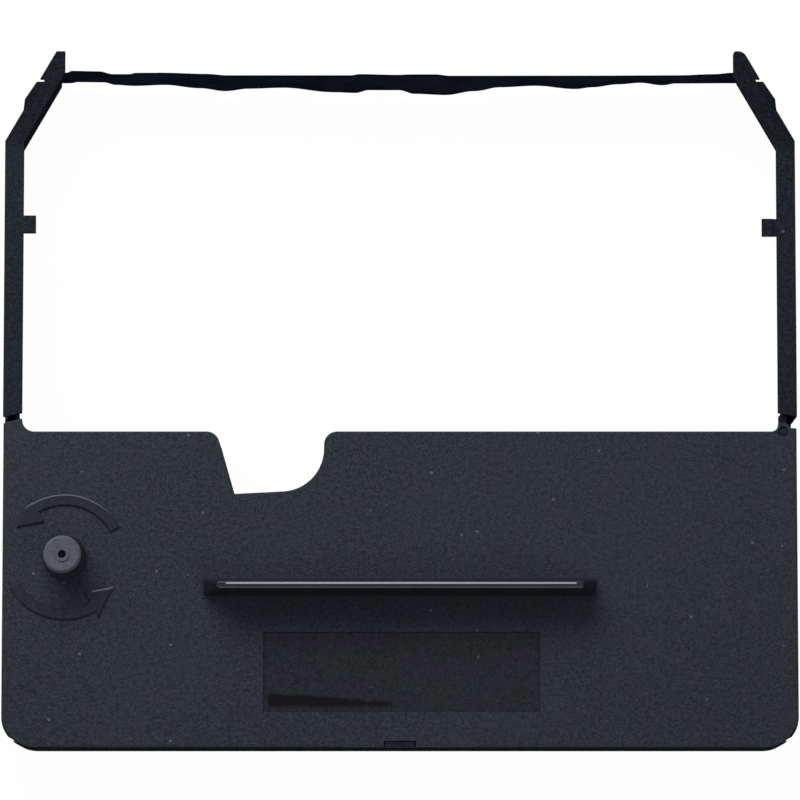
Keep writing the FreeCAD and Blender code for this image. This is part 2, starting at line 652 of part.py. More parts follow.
def arrow_outline(turned):
    """Curved arrow about the drive axis, or the same turned by half a circle."""
    sign = "-1" if turned else "1"

    def polar(radius, angle):
        direction = f"(sizes.{angle} * {DEGREE})"
        return (f"({DRIVE_X} + {sign} * {radius} * cos{direction})",
                f"({DRIVE_Y} + {sign} * {radius} * sin{direction})")

    middle = "((sizes.arrow_inner + sizes.arrow_outer) / 2)"
    outer_arc = (DRIVE_X, DRIVE_Y, "sizes.arrow_outer", 1)
    inner_arc = (DRIVE_X, DRIVE_Y, "sizes.arrow_inner", -1)
    return [
        (*polar("sizes.arrow_outer", "arrow_tail_angle"), *outer_arc),
        polar("sizes.arrow_outer", "arrow_neck_angle"),
        polar("sizes.arrow_head_outer", "arrow_neck_angle"),
        polar(middle, "arrow_tip_angle"),
        polar("sizes.arrow_head_inner", "arrow_neck_angle"),
        (*polar("sizes.arrow_inner", "arrow_neck_angle"), *inner_arc),
        polar("sizes.arrow_inner", "arrow_tail_angle"),
    ]


def centred(length, width, y):
    """Rectangle that lies evenly about the middle, at y."""
    return rectangle(f"(-{length} / 2)", f"({y} - {width} / 2)", f"({length} / 2)", f"({y} + {width} / 2)")


def make_grip(body):
    """Finger grip: a low step, and a wall that narrows from its foot to its crest."""
    grip_y = f"({FRONT} + sizes.handle_y)"
    step = new_sketch(body, "plinth", offset="sizes.overall_height - sizes.label_sink")
    outline(step, centred("sizes.plinth_length", "sizes.plinth_width", grip_y))
    plinth = pad(body, step, "sizes.plinth_height + sizes.label_sink")
    edges = top_edges(plinth, value("sizes.overall_height + sizes.plinth_height"))
    bevel_edges(body, plinth, edges, "sizes.plinth_bevel", "plinth_bevel")
    foot = new_sketch(body, "grip_foot", offset="sizes.overall_height")
    outline(foot, centred("sizes.handle_length", "sizes.handle_width", grip_y))
    crest = new_sketch(body, "grip_crest", offset="sizes.overall_height + sizes.handle_height")
    outline(crest, centred("sizes.handle_top_length", "sizes.handle_top_width", grip_y))
    grip = body.newObject("PartDesign::AdditiveLoft", "grip")
    grip.Profile = foot
    grip.Sections = [crest]
    grip.Ruled = True
    doc.recompute()
    crest_z = value("sizes.overall_height + sizes.handle_height")
    corners = []
    for number, edge in enumerate(grip.Shape.Edges, start=1):
        heights = sorted(vertex.Z for vertex in edge.Vertexes)
        if len(heights) == 2 and abs(heights[1] - crest_z) < NEAR and heights[0] < crest_z - 1:
            corners.append(f"Edge{number}")
    grip = round_edges(body, grip, corners, "sizes.handle_corner", "grip_corners")
    round_edges(body, grip, top_edges(grip, crest_z), "sizes.handle_edge", "grip_crest_edge")


def make_top_cover():
    """Cover plate with the finger grip, the arrows, the label recess and its pins."""
    body = new_body("top_cover")
    side = f"({HALF} - sizes.cover_inset)"
    front = f"({FRONT} + sizes.cover_inset)"
    plate = pad(body, outline(new_sketch(body, "plan", offset=COVER_BOTTOM), cover_outline()),
                "sizes.cover_thickness")
    plate = round_body(body, plate, [
        (f"(-{side})", front, "front_radius"),
        (side, front, "front_radius"),
        (f"(-{INNER})", BODY_BACK, "cover_ear_radius"),
        (INNER, BODY_BACK, "corner_foot_radius"),
    ])
    round_edges(body, plate, top_edges(plate, size("overall_height")), "sizes.edge_radius", "rim")
    latch = new_sketch(body, "latch")
    pocket(body, outline(latch, rectangle("(-sizes.latch_width / 2)", f"({FRONT} - sizes.latch_depth)",
                                          "(sizes.latch_width / 2)", f"({FRONT} + sizes.latch_depth)")))
    holes = new_sketch(body, "holes")
    circle(holes, DRIVE_X, DRIVE_Y, "sizes.shaft_radius + sizes.running_fit")
    circle(holes, POST_X, BODY_BACK, "sizes.corner_hole_radius")
    pocket(body, holes)
    label = new_sketch(body, "label", offset="sizes.overall_height")
    label_back = f"({FRONT} + sizes.label_front + sizes.label_depth)"
    pocket(body, outline(label, rectangle("(sizes.label_shift - sizes.label_width / 2)",
                                          f"({FRONT} + sizes.label_front)",
                                          "(sizes.label_shift + sizes.label_width / 2)", label_back)),
           "sizes.label_sink")
    for turned, title in ((False, "far_arrow"), (True, "near_arrow")):
        arrow = new_sketch(body, title, offset="sizes.overall_height - sizes.label_sink")
        raised = pad(body, outline(arrow, arrow_outline(turned)), "sizes.arrow_height + sizes.label_sink")
        edges = top_edges(raised, value("sizes.overall_height + sizes.arrow_height"))
        near = [edge for edge in edges if is_near_arrow(raised, edge, turned)]
        bevel_edges(body, raised, near, "sizes.arrow_bevel", f"{title}_bevel")
    pins = new_sketch(body, "pins", offset=f"{COVER_BOTTOM} + sizes.label_sink")
    for x, y in BOSSES:
        circle(pins, x, y, "sizes.pin_radius")
    pad(body, pins, "sizes.pin_length + sizes.label_sink", reverse=True)
    make_grip(body)
    return body


def is_near_arrow(feature, edge_name, turned):
    """Whether an edge belongs to the arrow on the near side of the drive axis."""
    middle = feature.Shape.getElement(edge_name).CenterOfMass
    return (middle.y < value(DRIVE_Y)) == turned


def make_guide_clip(side, label):
    """Leaf that closes the outer side of an arm end, with a tongue between the flanges."""
    body = new_body(f"{label}_guide_clip")
    foot = "(sizes.arm_lift + sizes.clip_margin)"
    start = f"({BACK} - sizes.clip_back)"
    end = f"({BACK} - sizes.clip_step - sizes.clip_notch)"
    seat = "(sizes.arm_width - sizes.clip_recess + sizes.clip_gap)"
    run_in = f"({start} + sizes.clip_gap)"
    shoulder = f"({start} + {CLIP_SLOPE} * sizes.clip_proud)"
    plan = new_sketch(body, "leaf", offset=foot)
    path = [
        arm_point(side, seat, run_in),
        arm_point(side, f"(sizes.arm_width + {CLIP_LIP} * sizes.clip_proud)", run_in),
        arm_point(side, "(sizes.arm_width + sizes.clip_proud)", shoulder),
        arm_point(side, f"(sizes.arm_width + {CLIP_FALL} * sizes.clip_proud)", end),
        arm_point(side, seat, end),
    ]
    pad(body, outline(plan, path), f"sizes.overall_height - sizes.clip_margin - {foot}")
    tongue = new_sketch(body, "tongue", offset=f"{SOLE_TOP} + sizes.clip_gap")
    low = f"({start} + sizes.clip_recess)"
    inside = "(sizes.arm_width - sizes.clip_recess - sizes.tongue_depth)"
    overlap = "(sizes.arm_width - sizes.clip_recess / 2)"
    high = f"({low} + sizes.tongue_length)"
    pad(body, outline(tongue, [arm_point(side, inside, low), arm_point(side, overlap, low),
                               arm_point(side, overlap, high), arm_point(side, inside, high)]),
        f"{FLANGE_FOOT} - {SOLE_TOP} - 2 * sizes.clip_gap")
    return body


PIVOT_Y = f"({FRONT} + sizes.pivot_y)"
ROLLER_FOOT = "(sizes.floor_thickness + sizes.roller_floor_gap)"
ROLLER_TOP = f"({ROLLER_FOOT} + sizes.roller_height)"


def make_drive_roller():
    """Serrated roller with its lower journal and the keyed socket for the spindle."""
    body = new_body("drive_roller", DRIVE_X, DRIVE_Y)
    profile = new_sketch(body, "profile", SIDE_PLANE)
    shoulder = f"(sizes.shaft_radius * {SHOULDER})"
    lift = "sizes.running_fit"
    outline(profile, [
        ("0", lift),
        ("sizes.journal_radius", lift),
        ("sizes.journal_radius", ROLLER_FOOT),
        ("sizes.drive_radius", ROLLER_FOOT),
        ("sizes.drive_radius", ROLLER_TOP),
        (shoulder, ROLLER_TOP),
        (shoulder, f"({ROLLER_TOP} + sizes.roller_floor_gap)"),
        ("0", f"({ROLLER_TOP} + sizes.roller_floor_gap)"),
    ])
    revolve(body, profile)
    groove = new_sketch(body, "groove", offset=ROLLER_TOP)
    mouth = f"(sizes.groove_depth * {TOOTH_HALF})"
    deep = "(sizes.drive_radius - sizes.groove_depth)"
    out = "(sizes.drive_radius + sizes.groove_depth)"
    outline(groove, [(deep, "0"), (out, f"(-{mouth})"), (out, mouth)])
    first = pocket(body, groove, "sizes.roller_height")
    teeth = body.newObject("PartDesign::PolarPattern", "teeth")
    teeth.Originals = [first]
    teeth.Axis = (groove, ["N_Axis"])
    teeth.Angle = 360
    teeth.Occurrences = int(round(size("drive_teeth")))
    body.Tip = teeth
    doc.recompute()
    socket = new_sketch(body, "socket", offset=lift)
    circle(socket, "0", "0", "sizes.socket_radius")
    pocket(body, socket, "sizes.socket_depth", reverse=True)
    key = new_sketch(body, "key", offset=lift)
    outline(key, rectangle("(-sizes.socket_key_reach)", "(-sizes.socket_key_width / 2)",
                           "sizes.socket_key_reach", "(sizes.socket_key_width / 2)"))
    pocket(body, key, "sizes.socket_depth / 2", reverse=True)
    spigot = new_sketch(body, "spigot_hole", offset=f"{ROLLER_TOP} + sizes.roller_floor_gap")
    circle(spigot, "0", "0", "sizes.shaft_press")
    pocket(body, spigot, f"sizes.spigot_length * {SPIGOT_HOLE}")
    return body


def make_drive_knob():
    """Tapered knob with its shaft through the cover and a spigot in the roller."""
    body = new_body("drive_knob", DRIVE_X, DRIVE_Y)
    profile = new_sketch(body, "profile", SIDE_PLANE)
    seat = f"({ROLLER_TOP} + sizes.roller_floor_gap)"
    spigot_foot = f"({seat} - sizes.spigot_length * {SPIGOT_IN})"
    foot = "(sizes.overall_height + sizes.knob_lift)"
    top = "(sizes.overall_height + sizes.knob_height)"
    outline(profile, [
        ("0", spigot_foot),
        ("sizes.shaft_press", spigot_foot),
        ("sizes.shaft_press", seat),
        ("sizes.shaft_radius", seat),
        ("sizes.shaft_radius", foot),
        ("sizes.knob_base_radius", foot),
        ("sizes.knob_top_radius", f"({top} - sizes.knob_round)"),
        ("(sizes.knob_top_radius - sizes.knob_round)", top),
        ("sizes.knob_ring_radius", top),
        ("sizes.knob_ring_radius", f"({top} + sizes.knob_ring_height)"),
        ("sizes.knob_dimple_radius", f"({top} + sizes.knob_ring_height)"),
        ("sizes.knob_dimple_radius", f"({top} - sizes.knob_dimple_depth)"),
        ("0", f"({top} - sizes.knob_dimple_depth)"),
    ])
    revolve(body, profile)
    return body


PINCH_REACH = "(sizes.drive_radius + sizes.pinch_radius + sizes.nip_gap)"
PINCH_ANGLE = f"(sizes.pinch_bearing * {DEGREE})"
PINCH_X = f"({DRIVE_X} + {PINCH_REACH} * cos({PINCH_ANGLE}))"
PINCH_Y = f"({DRIVE_Y} + {PINCH_REACH} * sin({PINCH_ANGLE}))"
LEVER_FOOT = ROLLER_FOOT
LEVER_TOP = f"({LEVER_FOOT} + sizes.lever_thickness)"
PINCH_FOOT = f"({LEVER_TOP} + sizes.roller_floor_gap)"


def make_pinch_lever():
    """Flat lever from its pivot post to the pinch axle."""
    body = new_body("pinch_lever", PIVOT_X, PIVOT_Y, LEVER_FOOT)
    along_x = value(f"{PINCH_X} - {PIVOT_X}")
    along_y = value(f"{PINCH_Y} - {PIVOT_Y}")
    body.Placement.Rotation = FreeCAD.Rotation(FreeCAD.Vector(0, 0, 1),
                                               math.degrees(math.atan2(along_y, along_x)))
    reach = f"sqrt(({PINCH_X} - {PIVOT_X})^2 + ({PINCH_Y} - {PIVOT_Y})^2)"
    plan = new_sketch(body, "plan")
    half = "sizes.lever_half_width"
    outline(plan, [
        ("0", f"(-{half})"),
        (reach, f"(-{half})", reach, "0", half, 1),
        (reach, half),
        ("0", half, "0", "0", half, 1),
    ])
    pad(body, plan, "sizes.lever_thickness")
    holes = new_sketch(body, "holes")
    circle(holes, "0", "0", "sizes.pivot_radius + sizes.running_fit")
    circle(holes, reach, "0", "sizes.pinch_axle_radius")
    pocket(body, holes)
    return body


def ring(label, inner, outer, bottom, top, x=PINCH_X, y=PINCH_Y):
    """Turned piece: a plain cylinder, or a tube where inner is a size."""
    body = new_body(label, x, y)
    profile = new_sketch(body, "profile", SIDE_PLANE)
    outline(profile, rectangle(inner, bottom, outer, top))
    revolve(body, profile)
    return body


def make_pinch_group():
    """Axle, hub and rubber tyre of the pinch roller."""
    axle_top = f"({ROLLER_TOP} + sizes.roller_floor_gap)"
    ring("pinch_axle", "0", "sizes.pinch_axle_radius", LEVER_FOOT, axle_top)
    ring("pinch_hub", "(sizes.pinch_axle_radius + sizes.running_fit)", "sizes.pinch_hub_radius",
         PINCH_FOOT, ROLLER_TOP)
    ring("pinch_tyre", "sizes.pinch_hub_radius", "sizes.pinch_radius",
         f"({PINCH_FOOT} + sizes.roller_floor_gap)", f"({ROLLER_TOP} - sizes.roller_floor_gap)")


def flat_spring(label, path, bottom, height):
    """Strip of spring steel standing on edge along a bent path."""
    points = [FreeCAD.Vector(x, y, 0) for x, y in path]
    line = Part.makePolygon(points)
    edge = line.makeOffset2D(size("spring_thickness") / 2, 0, False, False, False)
    return solid_feature(label, Part.Face(edge).extrude(FreeCAD.Vector(0, 0, height)), bottom)


def solid_feature(label, shape, bottom):
    """A sub-part whose shape is worked out directly, lifted to its height."""
    feature = doc.addObject("Part::Feature", label)
    feature.Label = label
    feature.Shape = shape
    feature.Placement.Base = FreeCAD.Vector(0, 0, bottom)
    SUB_PARTS.append(feature)
    return feature


def make_pinch_spring():
    """Flat spring from the case wall to the side of the pinch lever."""
    pinch = (value(PINCH_X), value(PINCH_Y))
    pivot = (value(PIVOT_X), value(PIVOT_Y))
    length = math.dist(pinch, pivot)
    along = ((pinch[0] - pivot[0]) / length, (pinch[1] - pivot[1]) / length)
    across = (along[1], -along[0])
    if across[1] > 0:
        across = (-across[0], -across[1])
    standoff = size("lever_half_width") + size("spring_gap") + size("spring_thickness") / 2
    touch = [pivot[i] + SPRING_TOUCH * length * along[i] + standoff * across[i] for i in (0, 1)]
    front = value(FRONT) + size("wall_thickness") + size("spring_thickness") / 2
    foot = (touch[0] + SPRING_REACH * size("wall_thickness"), front)
    heel = (foot[0] + SPRING_FOOT * size("wall_thickness"), front)
    return flat_spring("pinch_spring", [heel, foot, touch], value(LEVER_FOOT), size("lever_thickness") * 2)


def ribbon_corner(side, offset, along):
    """Point of an arm line as plain numbers."""
    x, y = arm_point(side, offset, along) if along else arm_point(side, offset)
    return value(x), value(y)


def ribbon_path():
    """Centre line of the free run, from the nip round the arms to the store."""
    drive = (value(DRIVE_X), value(DRIVE_Y))
    wrap = size("drive_radius") + size("ribbon_thickness") / 2 + size("ribbon_gap") / 2
    nip = math.radians(size("pinch_bearing"))
    lane = value(f"{INNER} + {LANE}")
    root_y = value(f"{BODY_BACK} - sizes.wall_thickness - 2 * sizes.ribbon_gap")
    reach = math.dist((-lane, root_y), drive)
    leave = math.atan2(root_y - drive[1], -lane - drive[0]) + math.acos(wrap / reach)
    steps = 14
    sweep = (2 * math.pi + nip) - leave
    wrapped = [leave + sweep * i / steps for i in range(steps + 1)]
    points = [(drive[0] + wrap * math.cos(a), drive[1] + wrap * math.sin(a)) for a in reversed(wrapped)]
    points.append((-lane, root_y))
    for side in ("-1", "1"):
        knee = ribbon_corner(side, LANE, None)
        span = ribbon_corner(side, LANE, RIBBON_Y)
        points += [knee, span] if side == "-1" else [span, knee]
    points.append((lane, root_y))
    points.append((value(STORE_RIGHT), value(f"{STORE_BACK} + sizes.ribbon_gap")))
    return points


def make_ribbon_run():
    """Free run of the ribbon: a band on edge that follows its path."""
    line = Part.makePolygon([FreeCAD.Vector(x, y, 0) for x, y in ribbon_path()])
    edge = line.makeOffset2D(size("ribbon_thickness") / 2, 0, False, False, False)
    band = Part.Face(edge).extrude(FreeCAD.Vector(0, 0, size("ribbon_width")))
    return solid_feature("ribbon_run", band, size("ribbon_floor"))


def make_ribbon_folds():
    """Stored part of the ribbon: loose folds pressed together on edge."""
    body = new_body("ribbon_folds")
    plan = new_sketch(body, "plan", offset="sizes.ribbon_floor")
    corners = rectangle(STORE_LEFT, f"({FRONT} + sizes.store_front)", STORE_RIGHT, STORE_BACK)
    block = pad(body, outline(plan, corners), "sizes.ribbon_width")
    edges = [found for x, y in corners for found in upright_edges(block, x, y)]
    round_edges(body, block, edges, "sizes.store_radius", "corners")
    return body


def brake_line():
    """Middle and direction of the ribbon's last free stretch, for the felt brake."""
    points = ribbon_path()
    (x0, y0), (x1, y1) = points[-2], points[-1]
    length = math.dist((x0, y0), (x1, y1))
    along = ((x1 - x0) / length, (y1 - y0) / length)
    middle = ((x0 + x1) / 2, (y0 + y1) / 2)
    return middle, along


def make_felt_pad():
    """Felt pad beside the ribbon's last stretch, square to the case's height."""
    (x, y), along = brake_line()
    away = (-along[1], along[0])
    if away[0] < 0:
        away = (-away[0], -away[1])
    gap = size("ribbon_thickness") / 2 + size("ribbon_gap")
    half = size("felt_length") / 2
    thick = size("felt_thickness")
    corners = []
    for step, out in ((-half, gap), (half, gap), (half, gap + thick), (-half, gap + thick)):
        place = [centre + step * along[i] + out * away[i] for i, centre in enumerate((x, y))]
        corners.append(FreeCAD.Vector(*place, 0))
    face = Part.Face(Part.makePolygon(corners + corners[:1]))
    bottom = size("ribbon_floor") + (size("ribbon_width") - size("felt_height")) / 2
    solid_feature("felt_pad", face.extrude(FreeCAD.Vector(0, 0, size("felt_height"))), bottom)
    return (x, y), along, away, gap + thick


def make_brake_leaf():
    """Flat spring that carries the felt pad, held against the right wall."""
    (x, y), along, away, back = make_felt_pad()
    half = size("felt_length") / 2
    out = back + size("spring_thickness") / 2
    upper = (x - half * along[0] + out * away[0], y - half * along[1] + out * away[1])
    lower = (x + half * along[0] + out * away[0], y + half * along[1] + out * away[1])
    wall = value(HALF) - size("wall_thickness") - size("spring_thickness") / 2
    foot = (wall, lower[1] - half)
    end = (wall, foot[1] - 2 * half)
    bottom = size("ribbon_floor") + (size("ribbon_width") - size("spring_height")) / 2
    return flat_spring("brake_leaf", [upper, lower, foot, end], bottom, size("spring_height"))


def check_document():
    """Stops where an object failed or a sub-part has no sound solid."""
    doc.recompute()
    for item in doc.Objects:
        if "Invalid" in item.State or "Error" in item.State:
            raise RuntimeError(f"{item.Name} failed: {item.State}")
    for part in SUB_PARTS:
        if part.Shape.isNull() or not part.Shape.isValid():
            raise RuntimeError(f"{part.Label} has no sound shape")
        if len(part.Shape.Solids) != 1:
            raise RuntimeError(f"{part.Label} has {len(part.Shape.Solids)} solids")


def main():
    """Builds every sub-part and writes one file for each."""
    make_bottom_case()
    make_top_cover()
    make_guide_clip("-1", "left")
    make_guide_clip("1", "right")
    make_drive_roller()
    make_drive_knob()
    make_pinch_lever()
    make_pinch_group()
    make_pinch_spring()
    make_brake_leaf()
    make_ribbon_run()
    make_ribbon_folds()
    check_document()
    os.makedirs("parts", exist_ok=True)
    for part in SUB_PARTS:
        part.Shape.exportStep(f"parts/{part.Label}.step")
        box = part.Shape.BoundBox
        print(f"{part.Label}: {part.Shape.Volume:.1f} mm3, X {box.XMin:.2f} {box.XMax:.2f}, "
              f"Y {box.YMin:.2f} {box.YMax:.2f}, Z {box.ZMin:.2f} {box.ZMax:.2f}")


main()
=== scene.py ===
import bpy
import math
import numpy as np
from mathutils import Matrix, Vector


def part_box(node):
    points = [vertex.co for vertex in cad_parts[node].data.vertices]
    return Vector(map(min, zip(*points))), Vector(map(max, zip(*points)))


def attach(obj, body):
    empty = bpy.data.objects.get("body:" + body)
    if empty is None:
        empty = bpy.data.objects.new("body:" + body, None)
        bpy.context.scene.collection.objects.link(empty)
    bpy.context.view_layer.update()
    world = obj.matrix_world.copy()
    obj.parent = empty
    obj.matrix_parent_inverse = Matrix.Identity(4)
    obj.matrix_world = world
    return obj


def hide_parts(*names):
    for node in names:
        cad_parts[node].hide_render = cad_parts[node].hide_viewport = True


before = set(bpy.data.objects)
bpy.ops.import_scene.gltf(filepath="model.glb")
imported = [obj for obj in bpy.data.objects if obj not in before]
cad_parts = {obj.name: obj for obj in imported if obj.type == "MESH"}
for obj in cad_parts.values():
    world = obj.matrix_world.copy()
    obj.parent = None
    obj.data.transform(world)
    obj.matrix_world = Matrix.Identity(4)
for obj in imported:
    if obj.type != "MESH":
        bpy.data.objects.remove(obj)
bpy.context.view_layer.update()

bl_info = {
    "name": "Printer ribbon cartridge",
    "version": (1, 0, 0),
    "blender": (4, 5, 0),
    "location": "View3D > Sidebar > Cartridge",
    "description": "Finishes and woven ribbon of a flat printer ribbon cartridge",
    "category": "Object",
}

MM = 0.001

# The frame's own places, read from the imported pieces.
CASE_LOW, CASE_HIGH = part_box("bottom_case")
CREST_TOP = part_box("top_cover")[1][2]
KNOB_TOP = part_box("drive_knob")[1][2]
FOLDS_LOW, FOLDS_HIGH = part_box("ribbon_folds")
RUN_LOW, RUN_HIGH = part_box("ribbon_run")
FRONT_Y = CASE_LOW[1]
COVER_TOP = CASE_HIGH[2]
HALF_WIDTH = CASE_HIGH[0]

# The ribbon's route in plan, in millimetres; Y counts from the front edge of the case.
ARM_WIDTH = 3.95
WEB_OUTER = 2.4
RIBBON_GAP = 0.2
RIBBON_THICKNESS = 0.3
RIBBON_OFFSET = WEB_OUTER + RIBBON_GAP + RIBBON_THICKNESS / 2
ARM_KNEE = 126.95
ARM_LEAN = math.radians(30.0)
SPAN_Y = 142.9
DRIVE = (-70.2, 39.9)
DRIVE_WRAP = 6.25
PINCH_BEARING = math.radians(-75.0)
ROOT_Y = 64.5
STORE_CORNER = (74.0, 49.5)

# Pitch of the ribbon's threads, in metres.
THREAD = 0.00022

# The recess for the label in plan, and the smear of ink in it, in metres.
LABEL_X = (-0.02855, 0.02925)
LABEL_Y = (FRONT_Y + 0.00755, FRONT_Y + 0.0243)
SMEAR_X = (-0.0280, 0.0003)
SMEAR_Y = (FRONT_Y + 0.01003, FRONT_Y + 0.0092)

# Painted highlights on the arrows' edges about the drive axis, in metres: radii of the far arrow's outer
# edge; start along X, slope and height of the near arrow head's far edge.
ARROW_RIM = (0.01288, 0.0133)
HEAD_EDGE = (0.0056, 0.184, -0.00822)
EDGE_BLUR = 0.0001

# Painted highlights on the grip's crest: a glint on the back edge and a grey reflection on the front edge;
# reach along X and Y in metres, and colour.
CREST_HIGHLIGHTS = (
    ((-0.0361, 0.0366), (FRONT_Y + 0.03366, FRONT_Y + 0.03402), (150, 153, 162)),
    ((-0.0374, 0.0383), (FRONT_Y + 0.03285, FRONT_Y + 0.03305), (72, 76, 82)),
)

# Where along Y the arms start and end to be darkened by painted shade towards their far ends, in metres,
# and how much of it they hold there.
FAR_SHADE_Y = (0.050, 0.056)
FAR_SHADE_SHARE = 0.36

# The clips' colour, as a share of the case's.
CLIP_TONE = 0.85

# Share of the floor that is plain white; the rest takes the light and the shadow.
FLOOR_WHITE = 0.975

# The photograph's camera: distance in pixels of its own frame, scale and tilt.
FRAME_PIXELS = 800
CAMERA_PIXELS = 5200.0
MM_PER_PIXEL = 0.21
CAMERA_TILT = math.radians(6.1)
AIM = Vector((0.0, -0.6 * MM, 17.0 * MM))


def linear(red, green, blue):
    """Colour given in 0 to 255 as the screen shows it, as linear light."""
    channels = np.array([red, green, blue]) / 255.0
    low = channels / 12.92
    high = ((channels + 0.055) / 1.055) ** 2.4
    return tuple(float(v) for v in np.where(channels <= 0.04045, low, high)) + (1.0,)


# Sizes and colours that a user would change.
class CartridgeFinish(bpy.types.PropertyGroup):
    """Colours and grain of the moulded plastics."""

    cover_colour: bpy.props.FloatVectorProperty(
        name="Cover", description="Spark-textured cover plate", subtype="COLOR", size=4,
        min=0, max=1, default=linear(40, 44, 51))
    case_colour: bpy.props.FloatVectorProperty(
        name="Case", description="Case and guide arms", subtype="COLOR", size=4,
        min=0, max=1, default=linear(32, 36, 42))
    polish_colour: bpy.props.FloatVectorProperty(
        name="Polish", description="Polished finger grip", subtype="COLOR", size=4,
        min=0, max=1, default=linear(20, 21, 25))
    knob_colour: bpy.props.FloatVectorProperty(
        name="Knob", description="Turning knob", subtype="COLOR", size=4,
        min=0, max=1, default=linear(74, 77, 83))
    grain_size: bpy.props.FloatProperty(
        name="Grain", description="Size of the spark texture's grains", subtype="DISTANCE",
        unit="LENGTH", min=0.0001, max=0.002, default=0.00036)


class CartridgeRibbon(bpy.types.PropertyGroup):
    """Woven ribbon: its thickness, its waves and its ink."""

    thickness: bpy.props.FloatProperty(
        name="Thickness", description="Woven band with its ink", subtype="DISTANCE",
        unit="LENGTH", min=0.00005, max=0.0005, default=0.00014)
    wave: bpy.props.FloatProperty(
        name="Wave", description="How far the lower edge swings out, as a share",
        min=0.0, max=2.0, default=1.0)
    ink_colour: bpy.props.FloatVectorProperty(
        name="Ink", description="Inked weave", subtype="COLOR", size=4,
        min=0, max=1, default=linear(25, 29, 43))
    fold_pitch: bpy.props.FloatProperty(
        name="Fold pitch", description="Distance between stored folds", subtype="DISTANCE",
        unit="LENGTH", min=0.0004, max=0.01, default=0.00105)


class CartridgeStage(bpy.types.PropertyGroup):
    """Lamps and world."""

    key_power: bpy.props.FloatProperty(
        name="Key lamp", description="Soft lamp at the far left", unit="POWER",
        min=0.0, max=100.0, default=3.6)
    fill_power: bpy.props.FloatProperty(
        name="Fill lamp", description="Weak lamp at the near right", unit="POWER",
        min=0.0, max=100.0, default=2.0)
    world_level: bpy.props.FloatProperty(
        name="World", description="Level of the light from all round",
        min=0.0, max=2.0, default=0.22)


# Shader groups shared by the materials.
def shader_group(name, inputs, outputs):
    """An empty group with named sockets; returns the tree and its two end nodes."""
    tree = bpy.data.node_groups.new(name, "ShaderNodeTree")
    for label, kind, default in inputs:
        socket = tree.interface.new_socket(label, in_out="INPUT", socket_type=kind)
        if default is not None:
            socket.default_value = default
    for label, kind in outputs:
        tree.interface.new_socket(label, in_out="OUTPUT", socket_type=kind)
    return tree, tree.nodes.new("NodeGroupInput"), tree.nodes.new("NodeGroupOutput")


def math_node(tree, operation, first, second=None, third=None, clamp=False):
    """A Math node; each input is a socket or a number."""
    node = tree.nodes.new("ShaderNodeMath")
    node.operation = operation
    node.use_clamp = clamp
    for slot, given in enumerate((first, second, third)):
        if given is None:
            continue
        if isinstance(given, (int, float)):
            node.inputs[slot].default_value = given
        else:
            tree.links.new(given, node.inputs[slot])
    return node.outputs[0]


def ramp(tree, value, low, high, start=0.0, end=1.0):
    """Value carried smoothly from low..high to start..end, clamped."""
    node = tree.nodes.new("ShaderNodeMapRange")
    node.interpolation_type = "SMOOTHSTEP"
    tree.links.new(value, node.inputs["Value"])
    for label, number in (("From Min", low), ("From Max", high), ("To Min", start), ("To Max", end)):
        node.inputs[label].default_value = number
    return node.outputs[0]


def noise(tree, vector, scale, detail=2.0, roughness=0.5):
    """Noise over a vector; scale is a number or a socket."""
    node = tree.nodes.new("ShaderNodeTexNoise")
    tree.links.new(vector, node.inputs["Vector"])
    if isinstance(scale, (int, float)):
        node.inputs["Scale"].default_value = scale
    else:
        tree.links.new(scale, node.inputs["Scale"])
    node.inputs["Detail"].default_value = detail
    node.inputs["Roughness"].default_value = roughness
    return node.outputs["Fac"]


def mix_colour(tree, factor, first, second, blend="MIX"):
    """Two colours mixed; each is a socket or a colour."""
    node = tree.nodes.new("ShaderNodeMix")
    node.data_type = "RGBA"
    node.blend_type = blend
    wanted = (("Factor", "VALUE", factor), ("A", "RGBA", first), ("B", "RGBA", second))
    for label, kind, given in wanted:
        socket = next(s for s in node.inputs if s.name == label and s.type == kind)
        if isinstance(given, (int, float, tuple)):
            socket.default_value = given
        else:
            tree.links.new(given, socket)
    return next(s for s in node.outputs if s.type == "RGBA")


def build_spark_texture():
    """Spark-eroded grain: height and tone of small pits and grains of a given size."""
    tree, given, result = shader_group(
        "Spark Texture",
        [("Vector", "NodeSocketVector", None), ("Grain Size", "NodeSocketFloat", 0.0004)],
        [("Height", "NodeSocketFloat"), ("Tone", "NodeSocketFloat")])
    scale = math_node(tree, "DIVIDE", 1.0, given.outputs["Grain Size"])
    fine = noise(tree, given.outputs["Vector"], scale, 3.0, 0.6)
    coarse = noise(tree, given.outputs["Vector"], math_node(tree, "MULTIPLY", scale, 0.4), 2.0)
    cells = tree.nodes.new("ShaderNodeTexVoronoi")
    tree.links.new(given.outputs["Vector"], cells.inputs["Vector"])
    tree.links.new(scale, cells.inputs["Scale"])
    pits = ramp(tree, cells.outputs["Distance"], 0.05, 0.6)
    height = math_node(tree, "MULTIPLY_ADD", fine, 0.6, math_node(tree, "MULTIPLY", pits, 0.4))
    tree.links.new(height, result.inputs["Height"])
    tone = math_node(tree, "MULTIPLY_ADD", coarse, 0.3, math_node(tree, "MULTIPLY", fine, 0.7))
    tree.links.new(tone, result.inputs["Tone"])
    return tree


